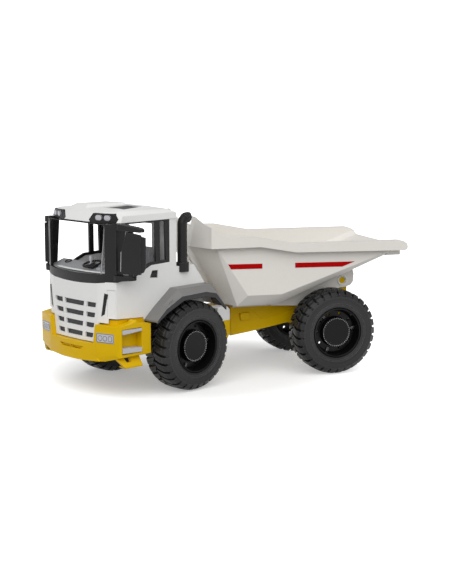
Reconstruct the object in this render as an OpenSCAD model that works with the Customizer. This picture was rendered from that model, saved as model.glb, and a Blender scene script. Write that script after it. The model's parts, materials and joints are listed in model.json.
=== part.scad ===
// Toy articulated dump truck, millimetres.
// Origin on the ground under the articulation pivot, x forward along the rear unit, y left, z up.
// The front unit stands turned about the pivot by rest_turn, as it is parked.

/* [Stance] */
// Angle by which the front unit is turned to the left, degrees
rest_turn = 26; // [0:1:30]
// From the articulation pivot forward to the front axle
front_axle_x = 90.6; // [88:0.2:94]
// From the articulation pivot back to the rear axle
rear_axle_back = 170; // [168:1:176]
// From the middle of the truck to the middle of a wheel
wheel_y = 78.5; // [78:0.5:82]

/* [Wheels] */
// Radius over the tips of the lugs
tyre_r = 58; // [56:0.5:60]
// Width of a tyre over its sidewalls
tyre_w = 45; // [40:0.5:46]
// How far the lugs stand out of the carcass
lug_h = 4.6; // [3:0.2:6]
// Lugs in each of the two staggered rows of a tyre
lug_count = 30; // [24:1:32]
// Width of one lug along the tread
lug_w = 8.4; // [7:0.2:9]
// How far the inner end of a lug runs ahead round the wheel, degrees
lug_lead = 6; // [0:0.5:8]
// Radius of the rim where the bead of the tyre sits
bead_r = 34; // [32:0.5:36]
// Thickness of the rim's barrel
barrel_t = 2.6; // [2:0.2:4]
// Radius of the drum in the middle of a rim
drum_r = 19.6; // [17:0.2:22]
// How far the drum's face lies inside the edge of the rim
drum_inset = 5; // [3:0.5:8]
// How far the bottom of the ring round the drum lies inside the edge of the rim
dish_depth = 14; // [10:0.5:16]
// Thickness of the rim's web
web_t = 3; // [2:0.5:4]
// Through holes in the rim's web
web_holes = 10; // [6:1:12]
// Diameter of a through hole in the web
web_hole_d = 3.6; // [2:0.2:5]
// Teeth round the hub cap
cap_teeth = 36; // [24:1:40]
// Thickness of the hub cap
cap_t = 1.6; // [1:0.2:2.4]
// Radius of an axle rod
axle_r = 3; // [2.5:0.1:3.4]
// Radial gap between an axle rod and the bore of a rim
axle_fit = 0.06; // [0.04:0.01:0.1]
// Side gap between a rim's hub and the axle tube
hub_gap = 0.8; // [0.5:0.1:1.5]

/* [Pivot] */
// Radius of the articulation pin
pivot_r = 5; // [4:0.2:6]
// Radial gap round the articulation pin and round the bed pin
pin_fit = 0.08; // [0.05:0.01:0.1]
// Radius of the eyes round the articulation pin
pivot_eye_r = 13; // [12:0.5:14]
// Lowest and highest level of the articulation fork
fork_z0 = 56; // [54:1:58]
// Top of the articulation fork
fork_z1 = 92; // [90:1:94]
// Thickness of each fork plate
fork_t = 8; // [6:0.5:10]
// Gap between faces that slide on each other
slide_gap = 0.5; // [0.3:0.1:0.8]
// From the pivot back to the front plate of the rear frame
fork_reach = 38; // [34:1:40]

/* [Rear frame] */
// Half width of the rear frame
rear_frame_hw = 34; // [30:1:36]
// Thickness of the frame walls
frame_t = 3; // [2.5:0.5:4]
// Underside of the rear frame at its front end
rear_frame_z0 = 50; // [48:1:54]
// Top of the rear frame, under the bed
rear_frame_z1 = 90.5; // [88:0.5:90.5]
// From the rear axle back to the bed's tipping pin
tip_back = 27; // [24:1:30]
// Height of the tipping pin
tip_z = 122; // [120:1:126]
// Radius of the tipping pin
tip_r = 4.4; // [3.6:0.2:5]
// Radius of the round end of a bed bracket
tip_eye_r = 10; // [8:0.2:11]
// Outer radius of an axle tube
axle_tube_r = 9; // [7:0.5:10]

/* [Bed] */
// Thickness of the bed's walls
bed_wall = 2.4; // [2:0.2:3.2]
// Half width of the bed over its side panels
bed_hw = 87; // [84:1:88]
// How far the bevel round a side panel falls back
bed_bevel = 10; // [6:1:12]
// Half width over the rim
rim_hw = 97; // [94:1:100]
// Height of the band that hangs from the rim
band_h = 11; // [9:0.5:12]
// Underside of the bed's flat floor
bed_floor_z = 98.5; // [98:0.5:101]
// Depth of the keel box under the flat floor
keel_h = 7.5; // [5:0.5:7.5]
// Half width of the keel box
keel_hw = 44; // [40:1:48]
// Half width of the bed's flat front
bed_front_hw = 52; // [46:1:58]
// From the flat floor up to the lower edge of a side panel
panel_rise = 14.5; // [12:0.5:16]
// Rear end of the bed's floor
bed_rear_x = -262; // [-266:1:-258]
// Level of the rim at the rear
rim_z_rear = 181; // [179:1:183]
// Level of the rim towards the front
rim_z_front = 192; // [190:1:194]
// Top of the headboard
head_z = 219; // [214:1:224]
// Front of the headboard at its foot
head_x = 27; // [25:1:29]
// Level of the stripes' upper edge at their front end
stripe_z = 156.7; // [152:0.1:160]
// Thickness of the stripes on the sides
stripe_t = 0.4; // [0.3:0.1:0.8]
// Height of the stripes
stripe_h = 6.6; // [5:0.2:8]

/* [Cab] */
// Half width of the cab
cab_hw = 69; // [67:0.5:70]
// Thickness of the cab's walls
cab_wall = 2.4; // [2:0.2:3]
// Foremost point of the front panel
cab_front_x = 212; // [210:1:214]
// Rear wall of the cab
cab_rear_x = 99.5; // [99:0.5:103]
// Where the black window surround ends, ahead of the white rear corner
frame_rear_x = 111; // [109:1:113]
// Lower edge of the cab's sides
cab_low_z = 101; // [99:0.5:102]
// Lower edge of the front panel
panel_low_z = 72; // [70:1:74]
// Where the white body ends and the windscreen surround starts, in front
sill_z = 148.5; // [147:0.5:150]
// How far the lip under the windscreen bows down in the middle
sill_bow = 3.5; // [2:0.5:5]
// Lower edge of the roof
roof_z = 222; // [220:1:224]
// Top of the roof
roof_top_z = 237; // [235:1:239]
// How far the windscreen leans back from the sill to the roof
screen_lean = 8; // [4:1:12]
// Lower edge of the windscreen opening, in the middle
screen_low_z = 156.5; // [155:0.5:160]
// Half width of the windscreen opening
screen_hw = 55.5; // [50:0.5:56]
// Front face of the post between the side windows
post_x = 134; // [130:1:140]
// Thickness of the pillars seen from the side
pillar_w = 6; // [5:0.5:7]
// Deck behind the cab, its top
deck_z = 160; // [156:1:162]
// Rear end of the deck behind the cab
deck_rear_x = 47; // [45:1:50]

/* [Grille] */
// Rows of slots in the front panel
grille_rows = 4; // [3:1:4]
// Height of one slot
slot_h = 6.4; // [5:0.2:7]
// From one row of slots to the next
slot_step = 13; // [12:0.2:13.6]
// Level of the middle of the top row
grille_top_z = 119; // [117:0.5:121]
// Half width of the grille at the top row
grille_hw = 42; // [38:1:44]
// How much narrower, on each side, the bottom row is
grille_taper = 6; // [2:1:8]
// Width of the middle slots
slot_mid_w = 40; // [36:1:42]
// Width of the bars between the slots
slot_bar = 5; // [3:0.2:6]

/* [Fenders] */
// Outer edge of a fender
fender_y = 94; // [92:0.5:96]
// Thickness of a fender
fender_t = 2.4; // [2:0.2:3]

/* [Bumper] */
// Half width of the bumper over its side boxes
bumper_hw = 82; // [80:1:84]
// Foremost point of the bumper
bumper_x = 218; // [216:1:220]
// Top of the bumper's outer parts
bumper_z1 = 96; // [94:1:98]
// Bottom of the bumper in the middle
bumper_z0 = 48; // [46:1:52]
// Half width of the bumper's middle notch at its top
notch_hw = 46; // [44:0.5:48]
// Thickness of the bumper's walls
bumper_t = 3; // [2.4:0.2:4]
// Thickness of a step plate
step_t = 5; // [4:0.5:6]

/* [Exhaust] */
// Radius of the exhaust pipe
pipe_r = 6.4; // [5:0.2:6.6]
// Place of the exhaust along the cab
pipe_x = 86.5; // [80:1:88]
// Highest point of the exhaust
pipe_top = 228; // [226:1:234]

/* [Hidden] */
axle_z = tyre_r;
rear_axle_x = -rear_axle_back;
tip_x = rear_axle_x - tip_back;
tube_end_y = wheel_y - tyre_w / 2 - 2;
cut = 1;                       // how far a cutting shape runs past what it cuts
far = 300;                     // larger than any piece

function reversed(list) = [for (i = [len(list) - 1:-1:0]) list[i]];
// a ring of x, y points that is the same on both sides, from its left half, front first
function both_sides(half) = concat(half, [for (p = reversed(half)) [p[0], -p[1]]]);

module left_right() {
    children();
    mirror([0, 1, 0]) children();
}
// outline in x and z, between two values of y
module side_prism(points, y0, y1)
    translate([0, y1, 0]) rotate([90, 0, 0]) linear_extrude(y1 - y0) polygon(points);
// outline in x and y, between two levels
module plan_prism(points, z0, z1)
    translate([0, 0, z0]) linear_extrude(z1 - z0) polygon(points);
// outline in y and z, between two values of x
module front_prism(points, x0, x1)
    translate([x0, 0, 0]) rotate([90, 0, 90]) linear_extrude(x1 - x0) polygon(points);
module block(low, high) translate(low) cube(high - low);
module cross_rod(x, z, r, y0, y1)
    translate([x, y1, z]) rotate([90, 0, 0]) cylinder(r = r, h = y1 - y0, $fn = 48);
// convex solid with these corners
module facets(points) hull() polyhedron(points, [[for (i = [0:len(points) - 1]) i]]);
module front_unit() rotate([0, 0, rest_turn]) children();

// wheels, built with the axle along z and the outer face up
// one ring of points round a tyre, row 1 outside and row -1 inside; spots give place in pitches and radius
function tyre_ring(row, w, spots, lead) = [for (i = [0:lug_count - 1]) for (s = spots)
    let (a = (i + s[0] + (row < 0 ? 0.5 : 0)) * 360 / lug_count - lead) [s[1] * cos(a), s[1] * sin(a),
        row * w]];
function quad(a, b, c, d) = [[a, b, c], [a, c, d]];
// faces of one pitch of a row; each corner gives a ring and a spot in it
pitch_faces = concat(
    // inner end and top of a lug
    quad([0, 0], [0, 1], [0, 2], [0, 3]), quad([0, 1], [1, 1], [1, 2], [0, 2]),
    quad([0, 0], [1, 0], [1, 1], [0, 1]), quad([0, 2], [1, 2], [1, 3], [0, 3]),     // its flanks
    quad([0, 3], [1, 3], [1, 4], [0, 4]),                                           // groove beside it
    quad([1, 1], [2, 0], [2, 1], [1, 2]), [[[1, 0], [2, 0], [1, 1]], [[1, 2], [2, 1], [1, 3]]],
          // shoulder
    quad([1, 3], [2, 1], [2, 2], [1, 4]),
    [[[2, 0], [3, 0], [2, 1]]], quad([2, 1], [3, 0], [3, 1], [2, 2]), quad([3, 0], [4, 0], [4, 1], [3, 1]));
ring_spots = [4, 4, 2, 1, 1];
ring_start = [0, 4, 8, 10, 11];
// number of a corner among the points of a tyre
function spot(row, i, corner) = ((row > 0 ? 0 : 12) + ring_start[corner[0]]) * lug_count
    + (i * ring_spots[corner[0]] + corner[1]) % (ring_spots[corner[0]] * lug_count);
module tyre() {
    half = tyre_w / 2;
    tip = lug_w * lug_count / (4 * PI * tyre_r);
    foot = tip + 0.045;
    low = tyre_r - lug_h;
    ridge = tyre_r - 8;
    bead = bead_r / cos(180 / lug_count);
    points = [for (row = [1, -1]) for (p = concat(
        tyre_ring(row, 1, [[-foot, low], [-tip, tyre_r], [tip, tyre_r], [foot, low]], lug_lead),
        tyre_ring(row, half - 6.5, [[-foot, low - 1], [-tip, tyre_r - 0.4], [tip, tyre_r - 0.4],
            [foot, low - 1]], 0),
        tyre_ring(row, half - 0.9, [[-foot, ridge], [foot, ridge]], 0),
        tyre_ring(row, half, [[0, ridge - 5]], 0),
        tyre_ring(row, half - 3, [[0, bead]], 0))) p];
    rounds = [for (i = [0:lug_count - 1]) i];
    faces = concat(
        [for (i = rounds) for (f = pitch_faces) [for (c = f) spot(1, i, c)]],
        [for (i = rounds) for (f = pitch_faces) reversed([for (c = f) spot(-1, i, c)])],
        // strip between the two rows and the seat on the rim
        [for (i = rounds) for (f = quad(spot(1, i, [0, 0]), spot(1, i, [0, 3]), spot(-1, i, [0, 0]),
            spot(-1, i + lug_count - 1, [0, 3]))) f],
        [for (i = rounds) for (f = quad(spot(1, i, [0, 3]), spot(1, i, [0, 4]), spot(-1, i, [0, 3]),
            spot(-1, i, [0, 0]))) f],
        [for (i = rounds) [spot(1, i, [4, 1]), spot(1, i, [4, 0]), spot(-1, i, [4, 0])]],
        [for (i = rounds) [spot(-1, i, [4, 0]), spot(-1, i, [4, 1]), spot(1, i, [4, 1])]]);
    color("#3a3a3b") polyhedron(points, faces);
}
module rim() {
    edge = tyre_w / 2 - 1.2;
    inner = bead_r - barrel_t;
    web = edge - dish_depth;
    drum = edge - drum_inset - cap_t;
    hub_r = axle_r + 5;
    hub_end = -(wheel_y - tube_end_y - hub_gap);
    bore_r = axle_r + axle_fit;
    color("#1c1c1e") difference() {
        rotate_extrude($fn = 72) polygon([[bore_r, hub_end], [hub_r, hub_end], [hub_r, web - web_t],
            [inner - 2, web - web_t], [inner, web - web_t - 4], [inner, 3 - tyre_w / 2],
                [bead_r, 3 - tyre_w / 2],
            [bead_r, edge - 0.6], [bead_r - 0.8, edge], [inner + 0.4, edge - 0.6], [inner - 1.4, web + 3],
            [inner - 3, web], [drum_r + 1.4, web], [drum_r, web + 1.4], [drum_r, drum],
            [0, drum], [0, drum - 3], [bore_r, drum - 3]]);
        for (i = [0:web_holes - 1]) rotate([0, 0, i * 360 / web_holes])
            translate([(drum_r + inner) / 2, 0, web - web_t - cut])
                cylinder(d = web_hole_d, h = web_t + 2 * cut, $fn = 24);
    }
}
module hub_cap() {
    base = tyre_w / 2 - 1.2 - drum_inset - cap_t;
    color("#222224") translate([0, 0, base]) difference() {
        cylinder(r = drum_r, h = cap_t, $fn = 72);
        for (i = [0:cap_teeth - 1]) rotate([0, 0, i * 360 / cap_teeth])
            block([drum_r - 1.4, -0.5, cap_t - 0.8], [drum_r + cut, 0.5, cap_t + cut]);
    }
}
// puts a wheel piece at an axle, on the left (side 1) or on the right (side -1)
module at_wheel(x, side)
    translate([x, side * wheel_y, axle_z]) rotate([side * -90, 0, 0]) children();
module axle_rod(x) {
    reach = wheel_y + tyre_w / 2 - 1.2 - drum_inset - cap_t - 4;
    color("#b9bbbd") cross_rod(x, axle_z, axle_r, -reach, reach);
}

// rear unit
module rear_frame() {
    front = -fork_reach;
    top = rear_frame_z1;
    rise = tip_z + tip_r + 4;
    outline = [[front, rear_frame_z0], [front - 28, rear_frame_z0 + 4], [front - 84, rear_frame_z0 + 14],
        [rear_axle_x + 8, axle_z - 6], [rear_axle_x - 8, axle_z - 6], [tip_x - 14, axle_z + 16],
        [tip_x - 14, rise], [tip_x + 12, rise], [tip_x + 34, top + 6], [front - 78, top], [front, top]];
    color("#f2b800") {
        difference() {
            side_prism(outline, -rear_frame_hw, rear_frame_hw);
            // open from below, with cross ribs left standing
            for (bay = [[front - 38, front - frame_t], [front - 79, front - 41], [rear_axle_x + axle_tube_r,
                front - 82], [tip_x - 14 + frame_t, rear_axle_x - axle_tube_r]])
                block([bay[0], frame_t - rear_frame_hw, 0], [bay[1],
                    rear_frame_hw - frame_t, top - frame_t]);
            cross_rod(rear_axle_x, axle_z, axle_r, -far, far);
            cross_rod(tip_x, tip_z, tip_r, -far, far);
            // sunk field with three corners on each side
            left_right() side_prism([[front - 32, top - 6], [front - 104, top - 6], [front - 82, 78],
                [front - 44, 71]],
                rear_frame_hw - 1, far);
            block([tip_x - 14 - cut, frame_t * 2 - rear_frame_hw, top],
                [tip_x + 40, rear_frame_hw - frame_t * 2, rise + cut]);
        }
        // axle tube
        left_right() difference() {
            cross_rod(rear_axle_x, axle_z, axle_tube_r, rear_frame_hw - frame_t, tube_end_y);
            cross_rod(rear_axle_x, axle_z, axle_r, -far, far);
        }
        // fork plates round the articulation pin
        for (z = [fork_z0, fork_z1 - 4 - fork_t]) difference() {
            union() {
                translate([0, 0, z]) cylinder(r = pivot_eye_r, h = fork_t, $fn = 60);
                plan_prism([[0, pivot_eye_r], [0, -pivot_eye_r], [front - 1, -pivot_eye_r - 8],
                    [front - 1, pivot_eye_r + 8]], z, z + fork_t);
            }
            translate([0, 0, z - cut]) cylinder(r = pivot_r, h = fork_t + 2 * cut, $fn = 60);
        }
        // blocks on the sides
        left_right() side_prism([[front - 27, 72], [front - 14, 71], [front - 13, 81], [front - 26, 81.4]],
            rear_frame_hw - 1, rear_frame_hw + 4);
    }
}
module pivot_pin() color("#b9bbbd") {
    translate([0, 0, fork_z0 - 2]) cylinder(r = pivot_r, h = fork_z1 - fork_z0, $fn = 60);
    translate([0, 0, fork_z1 - 4]) cylinder(r = pivot_r + 3, h = 2, $fn = 60);
}
module tip_pin() color("#f2b800") cross_rod(tip_x, tip_z, tip_r, -keel_hw - 5.5, keel_hw + 5.5);

// bed
bed_rear_z = rim_z_rear - band_h - 6;
// level of the bed's sloping underside at x
function under_z(x) = bed_floor_z + (-90 - x) * (bed_rear_z - bed_floor_z) / (-90 - bed_rear_x);
module tub(inset, top) {
    // inset 0 is the outside, inset bed_wall the inside
    floor_z = bed_floor_z + inset;
    panel_z = bed_floor_z + panel_rise;
    y1 = bed_hw - inset;
    y2 = bed_hw - bed_bevel - inset;
    y3 = bed_front_hw - inset * 0.6;
    rear = bed_rear_x - inset * 8;
    rear_z = bed_rear_z + 1 + inset * 4.1;
    head = rim_z_rear - 2;
    left = [
        [-1 - inset, y1, head], [-45 - inset, y1, panel_z + 0.5], [-93, y1, panel_z],
            [rear + 12, y1, rear_z],
        [7 - inset, y2, head], [-33 - inset, y2, floor_z], [-90, y2, floor_z], [rear, y2, rear_z - 1],
        [head_x - 1 - inset, y3, head], [-20 - inset, y3, floor_z],
        [rear + 12, y1, head], [rear, y2, head]];
    facets(concat(left, [for (p = left) [p[0], -p[1], p[2]]]));
    if (top > head) plan_prism(both_sides([[head_x - 1 - inset, y3], [7 - inset, y2], [-1 - inset, y1],
        [rear, y1]]), head - 0.01, top);
}
// side view of the rim with its band, rear end rounded
function rim_outline(inset) = [
    [-268.5, rim_z_rear - 14.2], [-272.8, rim_z_rear - 13.2], [-274, rim_z_rear - 9.5],
    [-273, rim_z_rear - 5 - inset], [-268.5, rim_z_rear - 1.6 - inset], [-263, rim_z_rear - inset],
    [-108, rim_z_rear + 1 - inset], [-56, rim_z_front - inset], [-15, rim_z_front + 1 - inset],
    [13, head_z - 10 - inset], [head_x - 5, head_z - inset], [head_x, rim_z_rear - 2], [8, rim_z_rear - 2],
    [-60, rim_z_rear - 2], [-110, rim_z_rear - band_h], [-245, rim_z_rear - 13.8]];
module bed() color("#d8d4ca") {
    lip_z = bed_rear_z - 5.3;
    difference() {
        union() {
            tub(0, 0);
            // keel box and floor
            side_prism([[-38, bed_floor_z + 4], [-38, bed_floor_z - keel_h], [-118, bed_floor_z - keel_h],
                [-128, bed_floor_z + 16]], -keel_hw, keel_hw);
            // ledge under the rear edge of the floor
            side_prism([[-248, lip_z], [-270.5, lip_z], [-270.5, bed_rear_z + 8],
                [-252, bed_rear_z - 2]], -80, 80);
            // rim, band and headboard
            intersection() {
                side_prism(rim_outline(0), -rim_hw, rim_hw);
                plan_prism(both_sides([[head_x + 1, bed_front_hw + 3], [9, rim_hw],
                    [-280, rim_hw]]), 0, far);
            }
        }
        tub(bed_wall, far);
        // under the rim the band is hollow
        left_right() intersection() {
            side_prism(rim_outline(bed_wall), bed_hw, rim_hw - bed_wall);
            block([-262, bed_hw, 0], [4, rim_hw - bed_wall, far]);
        }
        // shallow sunk field in the flat front, between two ribs
        left_right() intersection() {
            front_prism([[6, panel_rise + bed_floor_z], [18, panel_rise + bed_floor_z],
                [18, rim_z_rear - 8],
                [6, rim_z_rear - 8]], -60, far);
            difference() {
                tub(0, 0);
                tub(0.8, far);
            }
        }
    }
}
module bed_brackets() color("#cfcbc2") left_right() {
    y0 = keel_hw + 0.9;
    difference() {
        union() {
            side_prism([[-90, bed_floor_z], [-86, bed_floor_z - 0.4], [-92, bed_floor_z - 7],
                [-118, bed_floor_z - 8],
                [tip_x + 64, bed_floor_z - 9], [tip_x + 12, tip_z - 14.5],
                    [tip_x + 3, tip_z - tip_eye_r + 0.5],
                [tip_x, tip_z], [tip_x - tip_eye_r, tip_z + 2],
                    [tip_x - tip_eye_r, under_z(tip_x - tip_eye_r)]],
                y0, y0 + 5);
            cross_rod(tip_x, tip_z, tip_eye_r, y0, y0 + 5);
            // second plate, nearer to the middle
            side_prism([[tip_x + 28, under_z(tip_x + 28)], [tip_x + 25, tip_z - 10],
                [tip_x - 8, tip_z - 11],
                [tip_x - 16, tip_z - 8.5], [tip_x - 20, tip_z - 3], [tip_x - 20.6, tip_z + 8],
                [tip_x - 16, under_z(tip_x - 16)]], rear_frame_hw + 4.5, keel_hw - 1);
        }
        cross_rod(tip_x, tip_z, tip_r + pin_fit, 0, far);
    }
}
// slanted stripes; each corner gives x and how far under the upper line it lies, in stripe heights
module bed_stripes() color("#c3000b") left_right()
    for (run = [[[-17, 0], [-21, 1], [-65, 1], [-65, 0]], [[-112, 0], [-112, 1], [-181, 1], [-199, 0]]])
        side_prism([for (p = run) [p[0], stripe_z + (p[0] + 17) * 0.0195 - p[1] * stripe_h]],
            bed_hw, bed_hw + stripe_t);

// front unit, drawn straight ahead
module front_frame() {
    back = pivot_eye_r + 6;
    z0 = fork_z0 + fork_t + slide_gap;
    z1 = fork_z1 - 4 - fork_t - slide_gap;
    hw = 28;
    top = 97;
    color("#f2b800") {
        difference() {
            union() {
                translate([0, 0, z0]) cylinder(r = pivot_eye_r, h = z1 - z0, $fn = 60);
                block([0, -pivot_eye_r + 2, z0], [back + cut, pivot_eye_r - 2, z1]);
            }
            translate([0, 0, z0 - cut]) cylinder(r = pivot_r + pin_fit, h = z1 - z0 + 2 * cut, $fn = 60);
        }
        difference() {
            side_prism([[back, fork_z0], [front_axle_x - 14, axle_z - 8], [front_axle_x + 14, axle_z - 8],
                [bumper_x - 22, bumper_z0 + 6], [bumper_x - 22, panel_low_z + 10], [150, top],
                    [back, top]], -hw, hw);
            for (bay = [[back + frame_t, back + 30], [back + 30 + frame_t, front_axle_x - axle_tube_r],
                [front_axle_x + axle_tube_r, 124], [124 + frame_t, 150],
                    [150 + frame_t, bumper_x - 22 - frame_t]])
                block([bay[0], frame_t - hw, 0], [bay[1], hw - frame_t,
                    (bay[0] > 149 ? panel_low_z : top) - frame_t]);
            cross_rod(front_axle_x, axle_z, axle_r, -far, far);
        }
        left_right() difference() {
            cross_rod(front_axle_x, axle_z, axle_tube_r, hw - frame_t, tube_end_y);
            cross_rod(front_axle_x, axle_z, axle_r, -far, far);
        }
        // brackets that carry the boxes behind the front wheels
        left_right() {
            block([back - 1, hw - 1, 84], [back + 7, 50, 90]);
            side_prism([[4, 78], [4, 60], [8, 54], [16, 54], [27, 62], [27, 78]], 50, 70);
        }
    }
}
module rear_steps() color("#e4e3df") left_right() {
    side_prism([[4, 78], [27, 78], [27, 97], [9, 97], [4, 93]], 50, 70);
}
box_back_x = 155;              // rear end of the bumper's side boxes
module bumper() {
    x2 = bumper_x;
    hw = bumper_hw;
    wall = bumper_t;
    pocket_y = hw - 11;
    plan_half = [[x2 + 1, 12], [x2 - 3, 48], [x2 - 10.5, hw - 8], [x2 - 15, hw], [box_back_x, hw]];
    inner = [for (i = [0:3]) [plan_half[i][0] - wall, plan_half[i][1] - (i < 2 ? 0 : wall)]];
    low_half = [[hw, 57], [hw - 7, 54.5], [58, bumper_z0 + 2], [20, bumper_z0]];
    top_half = [[notch_hw - 4, panel_low_z - 1], [notch_hw, bumper_z1 + 1], [cab_hw + 0.6, bumper_z1 + 1],
        [cab_hw + 0.6, bumper_z1 + 8], [hw, bumper_z1 + 8]];
    half = concat(top_half, low_half);
    color("#f2b800") {
        difference() {
            intersection() {
                plan_prism(both_sides(plan_half), 0, far);
                front_prism(concat(half, [for (p = reversed(half)) [-p[0], p[1]]]), 150, far);
                // side view with the raised wall behind the upper step
                side_prism([[box_back_x, 0], [box_back_x, bumper_z1 - 1.3],
                    [box_back_x + 12, bumper_z1 + 0.4],
                    [x2 - 46, bumper_z1], [x2 - 40, bumper_z1 + 5.4], [x2 - 35, bumper_z1 + 2.2],
                        [x2 - 15, bumper_z1 - 0.6],
                    [x2 + 2, bumper_z1 + 0.4], [x2 + 2, 0]], -hw, hw);
            }
            // hollow behind the front wall and inside the boxes
            intersection() {
                plan_prism(both_sides(concat(inner, [[150, hw - wall]])), 0, far);
                union() {
                    block([box_back_x + wall, wall - pocket_y, bumper_z0 + 6],
                        [far, pocket_y - wall, panel_low_z - 4]);
                    left_right() block([box_back_x + wall, 49, bumper_z0 + 12],
                        [far, pocket_y - wall, bumper_z1 - wall]);
                }
            }
            // room for the frame and the cab's front panel
            block([150, -52, 0], [x2 - 22, 52, far]);
            // pockets for the steps
            left_right() block([170, pocket_y, 60.5], [x2 - 16.6, far, 91.8]);
            // lower corners fall away in a facet
            left_right() facets([[x2 - 2.5, 46, 54.5], [x2 - 9, hw - 9, 63.4], [x2 - 14, hw + 1, 58],
                [x2 + 6, 46, 54],
                [x2 + 6, hw + 1, 60], [x2 - 9, 57, bumper_z0 - 2], [x2 - 19, hw + 1, bumper_z0 - 2],
                [x2 + 6, 57, bumper_z0 - 2]]);
            step_plates();
            headlights();
            tow_pin();
            // towing mouth, narrower below
            front_prism([[-24, 65.4], [24, 65.4], [19, 61.6], [-19, 61.6]], x2 - 12, far);
        }
        left_right() hanging_step();
    }
}
// leaning plate with a square hole and a tread at its foot
module hanging_step() difference() {
    y = bumper_hw;
    intersection() {
        front_prism([[y - 16, 62], [y - 12, 62], [y + 0.5, 44.6], [y + 0.5, 42.4], [y - 11, 42.4],
            [y - 11, 44.6],
            [y - 4, 44.6]], 150, far);
        side_prism([[169, 62], [bumper_x - 13, 62], [bumper_x - 13, 54], [196.5, 42], [169.5, 42]], 0, far);
    }
    side_prism([[184, 57.5], [194.5, 57.5], [192, 49], [185, 49]], 0, far);
}
// wedges, thicker towards the front; columns: rear low, rear top, front low, front top
module step_plates() color("#c9cbce") left_right()
    for (z = [[60.9, 66.6, 61.8, 68.8], [87.2, 90.8, 85.6, 91.4]])
        side_prism([[170.2, z[0]], [bumper_x - 16.8, z[2]], [bumper_x - 16.8, z[3]], [170.2, z[1]]],
            bumper_hw - 11, bumper_hw + 1.5);
module headlights() color("#d9dbe2") left_right()
    translate([bumper_x - 3, 48, 0]) rotate([0, 0, 90 + 16.1]) block([0.4, -0.5, 74],
        [bumper_hw - 55.4, 0.8, 86]);
// two thin pins stand in the towing mouth
module tow_pin() color("#3a3a3b") left_right()
    translate([bumper_x - 8, 1.7, bumper_z0 + 5]) cylinder(r = 1.1, h = 16, $fn = 24);

function cab_half(inset) = [
    [cab_front_x - inset, 14], [cab_front_x - 2.5 - inset, 44], [cab_front_x - 6 - inset, 56 - inset * 0.4],
    [cab_front_x - 13 - inset * 0.6, cab_hw - inset], [cab_rear_x + inset, cab_hw - inset]];
// upright box of the cab, with its front leaning back above the sill
module cab_box(inset, z0, z1) intersection() {
    plan_prism(both_sides(cab_half(inset)), z0, z1);
    side_prism([[0, 0], [cab_front_x + 1 - inset, 0], [cab_front_x + 1 - inset, sill_z],
        [cab_front_x + 1 - screen_lean - inset, roof_z], [cab_front_x + 1 - screen_lean * 1.3 - inset,
            roof_z + 20],
        [0, roof_z + 20]], -cab_hw, cab_hw);
}
function arch_line(grow) = [for (p = [[63.4, 40.5], [19.8, 75.8], [-40.6, 76.2], [-58.6, 48]])
    [front_axle_x + p[0], axle_z + p[1] + grow]];
// line between the white body and the black window surround, as x and height over the sill
waist = [[frame_rear_x, 18.4], [frame_rear_x + 31, 17.1], [frame_rear_x + 45, 11], [frame_rear_x + 57.4, 4],
    [cab_front_x - 16, 0.6], [far, 0]];
module above_waist() {
    side_prism(concat([for (p = waist) [p[0], sill_z + p[1]]], [[far, far],
        [frame_rear_x, far]]), -far, far);
    // the lip under the windscreen hangs down in a bow
    front_prism([[-56, sill_z + 1], [-56, sill_z], [-42, sill_z - sill_bow * 0.5],
        [-22, sill_z - sill_bow * 0.88],
        [0, sill_z - sill_bow], [22, sill_z - sill_bow * 0.88], [42, sill_z - sill_bow * 0.5], [56, sill_z],
        [56, sill_z + 1]], cab_front_x - 30, far);
}
pipe_y = cab_hw - 3;
house_y = 46;                  // inner wall of the wheel houses
house_floor_z = 112;           // floor of the cabin
// walls of the wheel house over a front wheel
module wheel_house() {
    outer = arch_line(cab_wall - fender_t);
    inner = arch_line(-fender_t);
    side_prism(concat(outer, reversed(inner)), house_y, cab_hw - cab_wall / 2);
    side_prism(concat([[inner[0][0], cab_low_z]], outer, [[inner[3][0],
        cab_low_z]]), house_y, house_y + cab_wall);
}
module rear_window() block([0, -24, screen_low_z + 20], [cab_rear_x + 10, 24, roof_z - 10]);
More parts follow.
